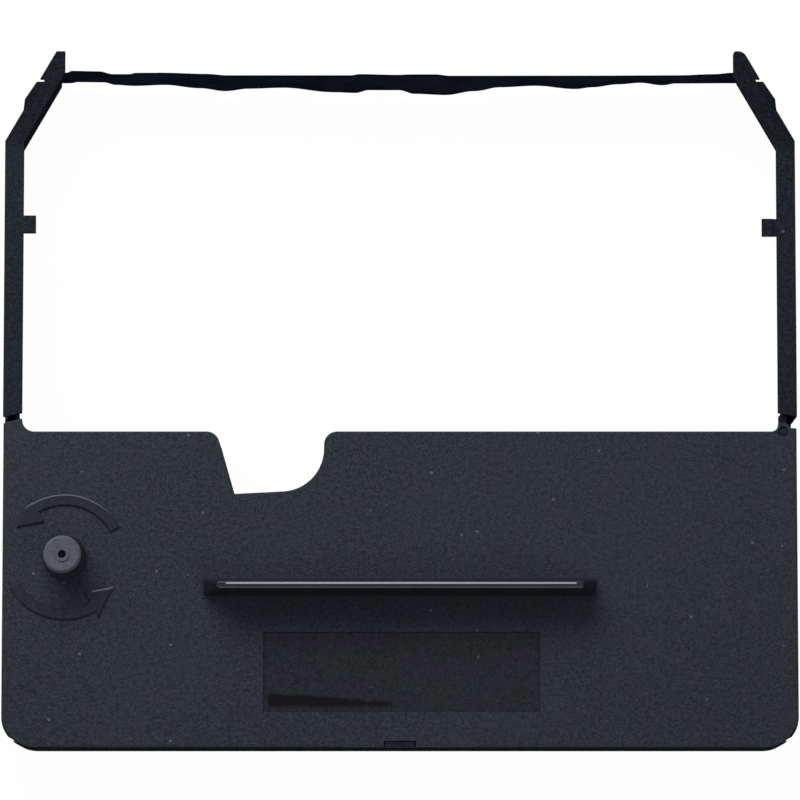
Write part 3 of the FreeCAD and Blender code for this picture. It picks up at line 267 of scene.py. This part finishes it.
def build_light_specks():
    """Sparse pale specks: small round spots in a few of many cells."""
    tree, given, result = shader_group(
        "Light Specks",
        [("Vector", "NodeSocketVector", None), ("Spacing", "NodeSocketFloat", 0.003),
         ("Share", "NodeSocketFloat", 0.2)],
        [("Mask", "NodeSocketFloat")])
    cells = tree.nodes.new("ShaderNodeTexVoronoi")
    tree.links.new(given.outputs["Vector"], cells.inputs["Vector"])
    tree.links.new(math_node(tree, "DIVIDE", 1.0, given.outputs["Spacing"]), cells.inputs["Scale"])
    spot = ramp(tree, cells.outputs["Distance"], 0.05, 0.13, 1.0, 0.0)
    pick = tree.nodes.new("ShaderNodeSeparateColor")
    tree.links.new(cells.outputs["Color"], pick.inputs["Color"])
    chosen = math_node(tree, "LESS_THAN", pick.outputs["Red"], given.outputs["Share"])
    tree.links.new(math_node(tree, "MULTIPLY", spot, chosen), result.inputs["Mask"])
    return tree


def build_handling():
    """Rubbed and smudged areas: soft patches crossed by faint streaks."""
    tree, given, result = shader_group(
        "Handling",
        [("Vector", "NodeSocketVector", None), ("Patch Size", "NodeSocketFloat", 0.03)],
        [("Rub", "NodeSocketFloat"), ("Streak", "NodeSocketFloat")])
    scale = math_node(tree, "DIVIDE", 1.0, given.outputs["Patch Size"])
    patch = noise(tree, given.outputs["Vector"], scale, 4.0, 0.55)
    tree.links.new(ramp(tree, patch, 0.38, 0.68), result.inputs["Rub"])
    stretch = tree.nodes.new("ShaderNodeMapping")
    stretch.inputs["Rotation"].default_value = (0.0, 0.0, 0.5)
    stretch.inputs["Scale"].default_value = (0.12, 1.0, 1.0)
    tree.links.new(given.outputs["Vector"], stretch.inputs["Vector"])
    line = noise(tree, stretch.outputs["Vector"], math_node(tree, "MULTIPLY", scale, 40.0), 2.0)
    tree.links.new(ramp(tree, line, 0.66, 0.76), result.inputs["Streak"])
    return tree


GROUPS = {}


def place_group(tree, name, **values):
    """One of the shared groups in a material; values are sockets or numbers."""
    builders = {"Spark Texture": build_spark_texture, "Light Specks": build_light_specks,
                "Handling": build_handling}
    if name not in GROUPS:
        GROUPS[name] = builders[name]()
    node = tree.nodes.new("ShaderNodeGroup")
    node.node_tree = GROUPS[name]
    for label, given in values.items():
        socket = node.inputs[label.replace("_", " ")]
        if isinstance(given, (int, float)):
            socket.default_value = given
        else:
            tree.links.new(given, socket)
    return node


def new_material(name):
    """A material with its Principled shader; returns material, tree, shader, coordinates."""
    material = bpy.data.materials.new(name)
    material.use_nodes = True
    tree = material.node_tree
    shader = tree.nodes["Principled BSDF"]
    place = tree.nodes.new("ShaderNodeTexCoord")
    return material, tree, shader, place


def set_bump(tree, shader, height, distance, strength=1.0):
    """Height, in units of distance, as a bump on the shader's normal."""
    bump = tree.nodes.new("ShaderNodeBump")
    bump.inputs["Distance"].default_value = distance
    bump.inputs["Strength"].default_value = strength
    tree.links.new(height, bump.inputs["Height"])
    tree.links.new(bump.outputs["Normal"], shader.inputs["Normal"])


def product(tree, *masks):
    """Masks multiplied together."""
    result = masks[0]
    for mask in masks[1:]:
        result = math_node(tree, "MULTIPLY", result, mask)
    return result


def within(tree, parts, x_range, y_range):
    """One where X and Y of a split vector lie between two values each, else nought."""
    tests = [math_node(tree, kind, parts.outputs[axis], limit)
             for axis, limits in (("X", x_range), ("Y", y_range))
             for kind, limit in zip(("GREATER_THAN", "LESS_THAN"), limits)]
    return product(tree, *tests)


def scaled(colour, share):
    """The colour at a share of its light."""
    return tuple(c * share for c in colour[:3]) + (1.0,)


def blend(tree, mask, strength, first, second):
    """Two colours mixed by a mask at a strength."""
    return mix_colour(tree, math_node(tree, "MULTIPLY", mask, strength), first, second)


def grained_plastic(name, colour, grain, roughness, speck_share=0.12, depth=0.00006):
    """Moulded plastic with spark grain, faint rubbing, a few pale specks and painted shade towards the far
    ends.
    """
    material, tree, shader, place = new_material(name)
    vector = place.outputs["Object"]
    spark = place_group(tree, "Spark Texture", Vector=vector, Grain_Size=grain)
    handling = place_group(tree, "Handling", Vector=vector, Patch_Size=0.03)
    specks = place_group(tree, "Light Specks", Vector=vector, Spacing=0.0035, Share=speck_share)
    tone = ramp(tree, spark.outputs["Tone"], 0.32, 0.68)
    base = mix_colour(tree, tone, scaled(colour, 0.45), scaled(colour, 1.6))
    base = blend(tree, handling.outputs["Rub"], 0.22, base, scaled(colour, 1.6))
    base = blend(tree, specks.outputs["Mask"], 0.35, base, linear(120, 124, 132))
    parts = tree.nodes.new("ShaderNodeSeparateXYZ")
    tree.links.new(vector, parts.inputs["Vector"])
    # Painted shade: the case and clips grow darker towards the arms' far ends.
    far_shade = ramp(tree, parts.outputs["Y"], FAR_SHADE_Y[0], FAR_SHADE_Y[1], 0.0, FAR_SHADE_SHARE)
    base = mix_colour(tree, far_shade, base, linear(4, 6, 11))
    tree.links.new(base, shader.inputs["Base Color"])
    rough = math_node(tree, "MULTIPLY_ADD", handling.outputs["Rub"], -0.08, roughness)
    tree.links.new(rough, shader.inputs["Roughness"])
    shader.inputs["Specular IOR Level"].default_value = 0.0
    set_bump(tree, shader, spark.outputs["Height"], depth)
    return material


def arrow_edge_highlights(tree, parts, raised):
    """Painted highlights on the arrows' edges: the far arrow's outer rim and the near head's far edge.

    The rim is a ring about the drive axis, on its far side alone. The head's edge is a
    straight line from its start to the rim's radius.
    """
    axes = (("X", DRIVE[0] * MM), ("Y", DRIVE[1] * MM + FRONT_Y))
    across, along = [math_node(tree, "SUBTRACT", parts.outputs[axis], centre) for axis, centre in axes]
    squares = [math_node(tree, "MULTIPLY", side, side) for side in (across, along)]
    radius = math_node(tree, "SQRT", math_node(tree, "ADD", *squares))
    near, far = ARROW_RIM
    rim = product(tree, ramp(tree, radius, near, near + EDGE_BLUR),
                  ramp(tree, radius, far, far + EDGE_BLUR, 1.0, 0.0),
                  ramp(tree, along, far * 0.62, far * 0.9))
    start, slope, height = HEAD_EDGE
    line = math_node(tree, "MULTIPLY_ADD", across, slope, height)
    off = math_node(tree, "ABSOLUTE", math_node(tree, "SUBTRACT", along, line))
    head = product(tree, ramp(tree, off, 0.00018, 0.0003, 1.0, 0.0),
                   ramp(tree, across, start, start + 0.0003),
                   math_node(tree, "LESS_THAN", across, far))
    return math_node(tree, "MULTIPLY", math_node(tree, "MAXIMUM", rim, head), raised)


def ink_smear(tree, vector, parts):
    """Smear of ink in the recess: a tapering line with a wavering edge, faded at its ends."""
    place = parts.outputs["X"]
    first, last = SMEAR_X
    taper = ramp(tree, place, first, last, 0.0012, 0.0005)
    sink = ramp(tree, place, first, last, SMEAR_Y[0], SMEAR_Y[1])
    wobble = math_node(tree, "MULTIPLY_ADD", noise(tree, vector, 330.0, 4.0, 0.6), 0.0016, -0.0008)
    off = math_node(tree, "ABSOLUTE", math_node(tree, "SUBTRACT", parts.outputs["Y"], sink))
    spread = math_node(tree, "SUBTRACT", math_node(tree, "ADD", off, wobble), taper)
    return product(tree, ramp(tree, spread, -0.0004, 0.0006, 1.0, 0.0),
                   ramp(tree, place, first, first + 0.0008),
                   ramp(tree, place, last - 0.004, last, 1.0, 0.0),
                   within(tree, parts, SMEAR_X, LABEL_Y))


def cover_plastic(settings):
    """Cover: grained plate, smooth arrows with painted edge highlights, polished grip with painted crest
    highlights, smooth recess with an ink smear.
    """
    material, tree, shader, place = new_material("Cover plastic")
    vector = place.outputs["Object"]
    parts = tree.nodes.new("ShaderNodeSeparateXYZ")
    tree.links.new(vector, parts.inputs["Vector"])
    grain = settings.grain_size
    spark = place_group(tree, "Spark Texture", Vector=vector, Grain_Size=grain)
    handling = place_group(tree, "Handling", Vector=vector, Patch_Size=0.035)
    specks = place_group(tree, "Light Specks", Vector=vector, Spacing=0.0032, Share=0.16)
    height = parts.outputs["Z"]
    raised = ramp(tree, height, COVER_TOP + 0.0001, COVER_TOP + 0.0003)
    polished = ramp(tree, height, COVER_TOP + 0.0007, COVER_TOP + 0.0010)
    sunk = ramp(tree, height, COVER_TOP - 0.0003, COVER_TOP - 0.00015, 1.0, 0.0)
    recess = math_node(tree, "MULTIPLY", sunk, within(tree, parts, LABEL_X, LABEL_Y))
    colour = tuple(settings.cover_colour)
    tone = ramp(tree, spark.outputs["Tone"], 0.32, 0.68)
    base = mix_colour(tree, tone, scaled(colour, 0.45), scaled(colour, 1.6))
    base = blend(tree, handling.outputs["Rub"], 0.18, base, scaled(colour, 1.55))
    base = blend(tree, specks.outputs["Mask"], 0.4, base, linear(122, 126, 134))
    hue = noise(tree, vector, 170.0, 3.0, 0.6)
    base = mix_colour(tree, 1.0, base, mix_colour(
        tree, ramp(tree, hue, 0.4, 0.6), (0.97, 1.03, 0.95, 1.0), (1.02, 0.99, 1.06, 1.0)), "MULTIPLY")
    base = mix_colour(tree, recess, base, (0.69, 0.61, 0.61, 1.0), "MULTIPLY")
    base = blend(tree, raised, 0.5, base, scaled(colour, 0.85))
    base = mix_colour(tree, raised, base, (0.84, 0.84, 0.84, 1.0), "MULTIPLY")
    base = mix_colour(tree, polished, base, tuple(settings.polish_colour))
    # Painted highlight on the arrows' upper edges, where the lamp's light would glint.
    base = blend(tree, arrow_edge_highlights(tree, parts, raised), 0.8, base, linear(98, 102, 108))
    # Painted highlight along the crest's back edge and painted reflection along its front edge.
    crest = math_node(tree, "GREATER_THAN", height, CREST_TOP - 0.0004)
    for reach_x, reach_y, highlight_colour in CREST_HIGHLIGHTS:
        line = math_node(tree, "MULTIPLY", crest, within(tree, parts, reach_x, reach_y))
        base = mix_colour(tree, line, base, linear(*highlight_colour))
    smear = ink_smear(tree, vector, parts)
    base = mix_colour(tree, smear, base, linear(8, 8, 11))
    tree.links.new(base, shader.inputs["Base Color"])
    rough = math_node(tree, "MULTIPLY_ADD", handling.outputs["Rub"], -0.08, 0.58)
    rough = math_node(tree, "MULTIPLY_ADD", raised, -0.14, rough)
    rough = math_node(tree, "MULTIPLY_ADD", polished, -0.18, rough)
    rough = math_node(tree, "MULTIPLY_ADD", smear, -0.22, rough)
    tree.links.new(rough, shader.inputs["Roughness"])
    shader.inputs["Specular IOR Level"].default_value = 0.07
    tree.links.new(math_node(tree, "MULTIPLY", polished, 0.4), shader.inputs["Coat Weight"])
    shader.inputs["Coat Roughness"].default_value = 0.12
    calm = math_node(tree, "MULTIPLY_ADD", raised, -0.88, 1.0)
    set_bump(tree, shader, math_node(tree, "MULTIPLY", spark.outputs["Height"], calm), 0.00007)
    return material


def ribbon_weave(settings):
    """Inked weave on the ribbon's own UV map, in metres along and across the band."""
    material, tree, shader, place = new_material("Inked ribbon")
    parts = tree.nodes.new("ShaderNodeSeparateXYZ")
    tree.links.new(place.outputs["UV"], parts.inputs["Vector"])
    turn = 2 * math.pi / THREAD
    waves = [math_node(tree, "SINE", math_node(tree, "MULTIPLY", parts.outputs[axis], turn))
             for axis in "XY"]
    weave = math_node(tree, "MULTIPLY", *waves)
    blot = noise(tree, place.outputs["UV"], 90.0, 4.0, 0.6)
    colour = tuple(settings.ink_colour)
    base = mix_colour(tree, ramp(tree, blot, 0.35, 0.65), scaled(colour, 0.6), scaled(colour, 1.3))
    base = mix_colour(tree, ramp(tree, weave, -0.6, 0.6, 0.0, 0.35), base, scaled(colour, 1.5))
    middle = math_node(tree, "SUBTRACT", parts.outputs["Y"], (RUN_HIGH[2] - RUN_LOW[2]) / 2)
    edge = ramp(tree, math_node(tree, "ABSOLUTE", middle), 0.0050, 0.0060)
    base = mix_colour(tree, edge, base, scaled(colour, 0.35))
    tree.links.new(base, shader.inputs["Base Color"])
    tree.links.new(ramp(tree, blot, 0.3, 0.7, 0.52, 0.68), shader.inputs["Roughness"])
    shader.inputs["Specular IOR Level"].default_value = 0.0
    set_bump(tree, shader, weave, 0.00002, 0.8)
    return material


def plain_finish(name, colour, roughness, metallic=0.0, grain=0.0006, depth=0.00001, contrast=0.15):
    """Small inner pieces: one colour with fine tone and grain."""
    material, tree, shader, place = new_material(name)
    spark = place_group(tree, "Spark Texture", Vector=place.outputs["Object"], Grain_Size=grain)
    tone = ramp(tree, spark.outputs["Tone"], 0.3, 0.7)
    base = mix_colour(tree, tone, scaled(colour, 1 - contrast), scaled(colour, 1 + contrast))
    tree.links.new(base, shader.inputs["Base Color"])
    tree.links.new(ramp(tree, spark.outputs["Tone"], 0.3, 0.7, roughness - 0.06, roughness + 0.06),
                   shader.inputs["Roughness"])
    shader.inputs["Metallic"].default_value = metallic
    set_bump(tree, shader, spark.outputs["Height"], depth)
    return material


def knob_plastic(settings):
    """Knob: greyer handled top with finger marks; its side painted dark as shade."""
    material, tree, shader, place = new_material("Knob plastic")
    vector = place.outputs["Object"]
    parts = tree.nodes.new("ShaderNodeSeparateXYZ")
    tree.links.new(vector, parts.inputs["Vector"])
    spark = place_group(tree, "Spark Texture", Vector=vector, Grain_Size=0.0006)
    handling = place_group(tree, "Handling", Vector=vector, Patch_Size=0.004)
    colour = tuple(settings.knob_colour)
    tone = ramp(tree, spark.outputs["Tone"], 0.3, 0.7)
    top = mix_colour(tree, tone, scaled(colour, 0.75), scaled(colour, 1.3))
    top = blend(tree, handling.outputs["Rub"], 0.4, top, scaled(colour, 1.45))
    # Painted shade: below its top the knob's side takes a fixed dark colour, as if less light fell there.
    lit_top = ramp(tree, parts.outputs["Z"], KNOB_TOP - 0.0012, KNOB_TOP - 0.0006)
    base = mix_colour(tree, lit_top, linear(30, 31, 35), top)
    tree.links.new(base, shader.inputs["Base Color"])
    shader.inputs["Roughness"].default_value = 0.5
    shader.inputs["Specular IOR Level"].default_value = 0.12
    set_bump(tree, shader, spark.outputs["Height"], 0.00003)
    return material


# Surfaces worked out on grids.
def surface(name, points, faces, material, uv=None, smooth=True):
    """A mesh object at the origin from points (n, 3) and quads (m, 4)."""
    mesh = bpy.data.meshes.new(name)
    mesh.from_pydata(points.reshape(-1, 3).tolist(), [], faces.tolist())
    if uv is not None:
        layer = mesh.uv_layers.new(name="UVMap")
        corners = np.empty(len(mesh.loops), dtype=np.int32)
        mesh.loops.foreach_get("vertex_index", corners)
        layer.data.foreach_set("uv", uv.reshape(-1, 2)[corners].astype(np.float32).ravel())
    mesh.polygons.foreach_set("use_smooth", np.full(len(mesh.polygons), smooth))
    mesh.materials.append(material)
    mesh.update()
    piece = bpy.data.objects.new(name, mesh)
    bpy.context.scene.collection.objects.link(piece)
    return piece


def grid_faces(rows, columns):
    """Quads of a grid of rows by columns points, open at all four edges."""
    index = np.arange(rows * columns).reshape(rows, columns)
    quads = np.stack([index[:-1, :-1], index[1:, :-1], index[1:, 1:], index[:-1, 1:]], axis=-1)
    return quads.reshape(-1, 4)


def route(corners, radius, step):
    """Evenly spaced points along straight runs joined by arcs of a radius.

    Each corner is cut by a circle that touches both its runs; the arc's length and the
    runs' lengths are then walked in equal steps.
    """
    corners = np.asarray(corners, dtype=float)
    dense = [corners[:1]]
    for before, corner, after in zip(corners[:-2], corners[1:-1], corners[2:]):
        back = (before - corner) / np.linalg.norm(before - corner)
        ahead = (after - corner) / np.linalg.norm(after - corner)
        half = math.acos(float(np.clip(back @ ahead, -1, 1))) / 2
        room = 0.45 * min(np.linalg.norm(before - corner), np.linalg.norm(after - corner))
        cut = min(radius / math.tan(half), room)
        turn = np.linspace(0.0, 1.0, 13)[:, None]
        start, end = corner + back * cut, corner + ahead * cut
        dense.append((1 - turn) ** 2 * start + 2 * turn * (1 - turn) * corner + turn ** 2 * end)
    dense.append(corners[-1:])
    line = np.concatenate(dense)
    lengths = np.concatenate([[0.0], np.cumsum(np.linalg.norm(np.diff(line, axis=0), axis=1))])
    count = int(lengths[-1] / step) + 1
    along = np.linspace(0.0, lengths[-1], count)
    return np.stack([np.interp(along, lengths, line[:, i]) for i in (0, 1)], axis=1), along


def arm_line(offset, y=None):
    """Knee of the line that lies offset outside the left arm's inner face, or its point at y."""
    inner = HALF_WIDTH / MM - ARM_WIDTH
    knee = ARM_KNEE + offset * math.tan(ARM_LEAN / 2)
    if y is None:
        return -(inner + offset), knee
    return -(inner + offset - (y - knee) * math.tan(ARM_LEAN)), y


def ribbon_corners():
    """Route of the free run in plan: nip, drive roller, left arm, span, right arm, store."""
    lane = -arm_line(RIBBON_OFFSET)[0]
    reach = math.dist((-lane, ROOT_Y), DRIVE)
    leave = math.atan2(ROOT_Y - DRIVE[1], -lane - DRIVE[0]) + math.acos(DRIVE_WRAP / reach)
    wrap = np.linspace(PINCH_BEARING + 2 * math.pi, leave, 15)
    corners = [(DRIVE[0] + DRIVE_WRAP * math.cos(a), DRIVE[1] + DRIVE_WRAP * math.sin(a)) for a in wrap]
    corners += [(-lane, ROOT_Y), arm_line(RIBBON_OFFSET), arm_line(RIBBON_OFFSET, SPAN_Y)]
    corners += [(-x, y) for x, y in (arm_line(RIBBON_OFFSET, SPAN_Y), arm_line(RIBBON_OFFSET))]
    corners += [(lane, ROOT_Y), (STORE_CORNER[0], STORE_CORNER[1] + RIBBON_GAP)]
    return corners


# Waves of the ribbon's two edges along its span: place along X, and how far the edge stands
# out towards the body, in millimetres.
LOWER_WAVE = (
    (-70.6, 0.0), (-69.0, -0.25), (-63.5, -0.2), (-60.8, 0.36), (-57.0, 0.57), (-50.4, 0.36),
    (-42.8, 1.08), (-37.4, 1.71), (-32.5, 1.18), (-25.0, 0.97), (-14.2, 1.95), (-9.5, 2.1),
    (-6.8, 1.5), (-0.2, 1.5), (3.2, 2.3), (9.7, 2.55), (16.0, 1.71), (21.4, 0.87), (29.0, 0.55),
    (37.6, 1.25), (41.2, 0.87), (46.7, 0.23), (51.5, -0.1), (56.3, 0.44), (59.0, 0.05),
    (69.5, 0.0), (70.6, 0.0),
)
UPPER_WAVE = (
    (-70.6, 0.0), (-69.5, -0.4), (-63.8, -0.3), (-60.8, 0.3), (-57.3, 0.3), (-56.0, 0.02),
    (-50.4, 0.0), (-41.0, 0.25), (-36.6, 0.55), (-10.4, 0.55), (-8.6, 0.3), (-0.6, 0.45),
    (2.5, 0.35), (7.5, 0.35), (10.5, 0.65), (42.0, 0.62), (59.0, 0.55), (66.5, 0.3), (70.6, 0.0),
)


def eased(table, x):
    """Value of a table of (place, value) pairs at x.

    Between two places the value follows half a cosine wave, so it is level at each place.
    """
    places, values = np.array(table).T
    index = np.clip(np.searchsorted(places, x) - 1, 0, len(places) - 2)
    share = np.clip((x - places[index]) / (places[index + 1] - places[index]), 0.0, 1.0)
    share = (1.0 - np.cos(np.pi * share)) / 2.0
    return values[index] * (1.0 - share) + values[index + 1] * share


def ribbon_swell(x, height):
    """How far the band stands out towards the body at X and at a share of its height.

    The two edges' waves are mixed by the height to the power 0.8.
    """
    share = height ** 0.8
    return eased(LOWER_WAVE, x) * (1.0 - share) + eased(UPPER_WAVE, x) * share


def make_ribbon(settings, material):
    """The free run as a woven band on edge, with swells where nothing guides it."""
    line, along = route(ribbon_corners(), 0.8, 0.35)
    rows = 15
    height = np.linspace(0.0, 1.0, rows)
    x = line[:, 0][:, None] + 0.0 * height
    y = line[:, 1][:, None] + 0.0 * height
    span = (np.abs(line[:, 0]) < LOWER_WAVE[-1][0]) & (line[:, 1] > SPAN_Y - 1.0)
    share = (span * settings.wave)[:, None]
    y = y - share * ribbon_swell(x, height[None, :])
    low, high = RUN_LOW[2], RUN_HIGH[2]
    z = low + (high - low) * height[None, :] + 0.0 * x
    points = np.stack([x * MM, y * MM + FRONT_Y, z], axis=-1)
    uv = np.stack([along[:, None] * MM + 0.0 * x, (z - low)], axis=-1)
    piece = surface("woven_ribbon", points, grid_faces(len(line), rows), material, uv)
    wall = piece.modifiers.new("Thickness", "SOLIDIFY")
    wall.thickness = settings.thickness
    wall.offset = 0.0
    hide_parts("ribbon_run")
    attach(piece, "case")


def make_stored_folds(settings, material):
    """The stored folds: the band led to and fro between the front and back of its store.

    The band's line is a rounded zigzag whose turning points wander a little, so that the
    folds lie as loosely as stuffed ones do.
    """
    random = np.random.default_rng(7)
    low, high = np.array(FOLDS_LOW) / MM, np.array(FOLDS_HIGH) / MM
    pitch = settings.fold_pitch / MM
    margin = 0.6
    turns = int((high[0] - low[0] - 2 * margin) / pitch)
    x = low[0] + margin + pitch * np.arange(turns)
    near = (np.arange(turns) % 2) == 0
    edge = 5.0 * np.clip(1.0 - np.minimum(x - low[0], high[0] - x) / 6.0, 0.0, 1.0) ** 2
    reach = margin + edge + random.uniform(0.0, 1.8, turns)
    y = np.where(near, low[1] + reach, high[1] - reach)
    line, along = route(np.stack([x, y], axis=1), 0.4, 1.2)
    bend = 0.16 * pitch * np.sin(line[:, 1] / 3.1 + line[:, 0] * 0.9)
    height = np.linspace(0.0, 1.0, 3)
    z = FOLDS_LOW[2] + (FOLDS_HIGH[2] - FOLDS_LOW[2]) * height[None, :] + 0.0 * line[:, :1]
    x = (line[:, :1] + bend[:, None]) * MM + 0.0 * z
    y = line[:, 1:] * MM + 0.0 * z
    points = np.stack([x, y, z], axis=-1)
    uv = np.stack([along[:, None] * MM + 0.0 * z, z - FOLDS_LOW[2]], axis=-1)
    piece = surface("stored_folds", points, grid_faces(len(line), 3), material, uv)
    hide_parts("ribbon_folds")
    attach(piece, "case")


def dress(node, material):
    """Gives a CAD piece its finish."""
    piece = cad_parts[node]
    piece.data.materials.clear()
    piece.data.materials.append(material)


# Operators: one for each group of like pieces and one for the stage.
class CARTRIDGE_OT_shell(bpy.types.Operator):
    """Finishes of the case, the cover and the guide clips"""

    bl_idname = "cartridge.shell"
    bl_label = "Finish the shell"

    def execute(self, context):
        finish = context.scene.cartridge_finish
        colour = tuple(finish.case_colour)
        case = grained_plastic("Case plastic", colour, finish.grain_size, 0.55)
        clip = grained_plastic("Clip plastic", scaled(colour, CLIP_TONE), finish.grain_size, 0.5)
        dress("bottom_case", case)
        dress("top_cover", cover_plastic(finish))
        dress("left_guide_clip", clip)
        dress("right_guide_clip", clip)
        return {"FINISHED"}


class CARTRIDGE_OT_knob(bpy.types.Operator):
    """Finish of the turning knob"""

    bl_idname = "cartridge.knob"
    bl_label = "Finish the knob"

    def execute(self, context):
        dress("drive_knob", knob_plastic(context.scene.cartridge_finish))
        return {"FINISHED"}


class CARTRIDGE_OT_drive(bpy.types.Operator):
    """Finishes of the rollers, the lever, the springs and the felt"""

    bl_idname = "cartridge.drive"
    bl_label = "Finish the drive"

    def execute(self, context):
        acetal = plain_finish("Acetal", linear(196, 196, 190), 0.42)
        steel = plain_finish("Strip steel", linear(170, 170, 172), 0.3, metallic=1.0, grain=0.0003)
        rubber = plain_finish("Tyre rubber", linear(34, 34, 36), 0.75, depth=0.00003)
        felt = plain_finish("Felt", linear(48, 47, 50), 0.95, grain=0.0003, depth=0.0001, contrast=0.4)
        for node in ("drive_roller", "pinch_lever", "pinch_hub"):
            dress(node, acetal)
        for node in ("pinch_axle", "pinch_spring", "brake_leaf"):
            dress(node, steel)
        dress("pinch_tyre", rubber)
        dress("felt_pad", felt)
        return {"FINISHED"}


class CARTRIDGE_OT_ribbon(bpy.types.Operator):
    """The woven ribbon: its free run and its stored folds"""

    bl_idname = "cartridge.ribbon"
    bl_label = "Thread the ribbon"

    def execute(self, context):
        settings = context.scene.cartridge_ribbon
        material = ribbon_weave(settings)
        make_ribbon(settings, material)
        make_stored_folds(settings, material)
        return {"FINISHED"}


def area_lamp(name, place, width, depth, power):
    """A rectangular soft lamp that looks at the middle of the part's foot."""
    light = bpy.data.lights.new(name, "AREA")
    light.shape = "RECTANGLE"
    light.size = width
    light.size_y = depth
    light.energy = power
    lamp = bpy.data.objects.new(name, light)
    bpy.context.scene.collection.objects.link(lamp)
    lamp.location = place
    lamp.rotation_euler = (-Vector(place)).to_track_quat("-Z", "Y").to_euler()


def background_ray(tree):
    """One for rays from the camera, off a gloss or through a clear piece, else nought."""
    path = tree.nodes.new("ShaderNodeLightPath")
    seen = math_node(tree, "MAXIMUM", path.outputs["Is Camera Ray"], path.outputs["Is Glossy Ray"])
    return math_node(tree, "MAXIMUM", seen, path.outputs["Is Transmission Ray"])


def build_world(settings):
    """White to the camera and in reflections; to all else an even, weaker light."""
    world = bpy.data.worlds.new("Studio")
    bpy.context.scene.world = world
    world.use_nodes = True
    tree = world.node_tree
    tree.nodes.clear()
    seen = tree.nodes.new("ShaderNodeBackground")
    seen.inputs["Color"].default_value = (1.0, 1.0, 1.0, 1.0)
    lit = tree.nodes.new("ShaderNodeBackground")
    lit.inputs["Color"].default_value = (0.96, 0.98, 1.0, 1.0)
    lit.inputs["Strength"].default_value = settings.world_level
    mix = tree.nodes.new("ShaderNodeMixShader")
    out = tree.nodes.new("ShaderNodeOutputWorld")
    tree.links.new(background_ray(tree), mix.inputs["Fac"])
    tree.links.new(lit.outputs["Background"], mix.inputs[1])
    tree.links.new(seen.outputs["Background"], mix.inputs[2])
    tree.links.new(mix.outputs["Shader"], out.inputs["Surface"])


def build_floor():
    """Pale floor that the camera sees as white with a faint shadow."""
    half, drop = 2.0, -0.00015
    corners = np.array([(-half, -half, drop), (half, -half, drop), (half, half, drop), (-half, half, drop)])
    material = bpy.data.materials.new("Pale floor")
    material.use_nodes = True
    tree = material.node_tree
    shader = tree.nodes["Principled BSDF"]
    shader.inputs["Base Color"].default_value = (0.9, 0.9, 0.9, 1.0)
    shader.inputs["Roughness"].default_value = 0.9
    shader.inputs["Specular IOR Level"].default_value = 0.1
    glow = tree.nodes.new("ShaderNodeEmission")
    glow.inputs["Color"].default_value = (1.0, 1.0, 1.0, 1.0)
    glow.inputs["Strength"].default_value = 1.0
    mix = tree.nodes.new("ShaderNodeMixShader")
    tree.links.new(math_node(tree, "MULTIPLY", background_ray(tree), FLOOR_WHITE), mix.inputs["Fac"])
    tree.links.new(shader.outputs["BSDF"], mix.inputs[1])
    tree.links.new(glow.outputs["Emission"], mix.inputs[2])
    tree.links.new(mix.outputs["Shader"], tree.nodes["Material Output"].inputs["Surface"])
    floor = surface("studio_floor", corners, np.array([[0, 1, 2, 3]]), material, smooth=False)


def build_camera():
    """The photograph's view: nearly straight down, leaning a few degrees to the front."""
    sensor = 36.0
    data = bpy.data.cameras.new("Camera")
    data.sensor_width = sensor
    data.lens = sensor * CAMERA_PIXELS / FRAME_PIXELS
    data.clip_start = 0.05
    data.clip_end = 20.0
    camera = bpy.data.objects.new("Camera", data)
    bpy.context.scene.collection.objects.link(camera)
    distance = CAMERA_PIXELS * MM_PER_PIXEL * MM
    camera.location = AIM + distance * Vector((0.0, -math.sin(CAMERA_TILT), math.cos(CAMERA_TILT)))
    camera.rotation_euler = (CAMERA_TILT, 0.0, 0.0)
    bpy.context.scene.camera = camera


class CARTRIDGE_OT_stage(bpy.types.Operator):
    """Floor, lamps, world and camera"""

    bl_idname = "cartridge.stage"
    bl_label = "Set the stage"

    def execute(self, context):
        settings = context.scene.cartridge_stage
        build_world(settings)
        build_floor()
        area_lamp("Key lamp", (-0.18, 0.36, 0.38), 0.5, 0.25, settings.key_power)
        area_lamp("Fill lamp", (0.6, -0.5, 0.8), 0.5, 0.5, settings.fill_power)
        build_camera()
        bpy.context.scene.view_settings.view_transform = "Standard"
        return {"FINISHED"}


class CARTRIDGE_PT_sidebar(bpy.types.Panel):
    """Settings and steps of the cartridge"""

    bl_idname = "CARTRIDGE_PT_sidebar"
    bl_label = "Ribbon cartridge"
    bl_space_type = "VIEW_3D"
    bl_region_type = "UI"
    bl_category = "Cartridge"

    def draw(self, context):
        for group in ("cartridge_finish", "cartridge_ribbon", "cartridge_stage"):
            settings = getattr(context.scene, group)
            for label in settings.bl_rna.properties.keys():
                if label not in ("rna_type", "name"):
                    self.layout.prop(settings, label)
        for step in STEPS:
            self.layout.operator(f"cartridge.{step}")


STEPS = ("shell", "knob", "drive", "ribbon", "stage")
CLASSES = (
    CartridgeFinish, CartridgeRibbon, CartridgeStage, CARTRIDGE_OT_shell, CARTRIDGE_OT_knob,
    CARTRIDGE_OT_drive, CARTRIDGE_OT_ribbon, CARTRIDGE_OT_stage, CARTRIDGE_PT_sidebar,
)


def register():
    for kind in CLASSES:
        bpy.utils.register_class(kind)
    bpy.types.Scene.cartridge_finish = bpy.props.PointerProperty(type=CartridgeFinish)
    bpy.types.Scene.cartridge_ribbon = bpy.props.PointerProperty(type=CartridgeRibbon)
    bpy.types.Scene.cartridge_stage = bpy.props.PointerProperty(type=CartridgeStage)


def unregister():
    for group in ("cartridge_finish", "cartridge_ribbon", "cartridge_stage"):
        delattr(bpy.types.Scene, group)
    for kind in reversed(CLASSES):
        bpy.utils.unregister_class(kind)


def main():
    register()
    for step in STEPS:
        getattr(bpy.ops.cartridge, step)()


if __name__ == "__main__":
    main()
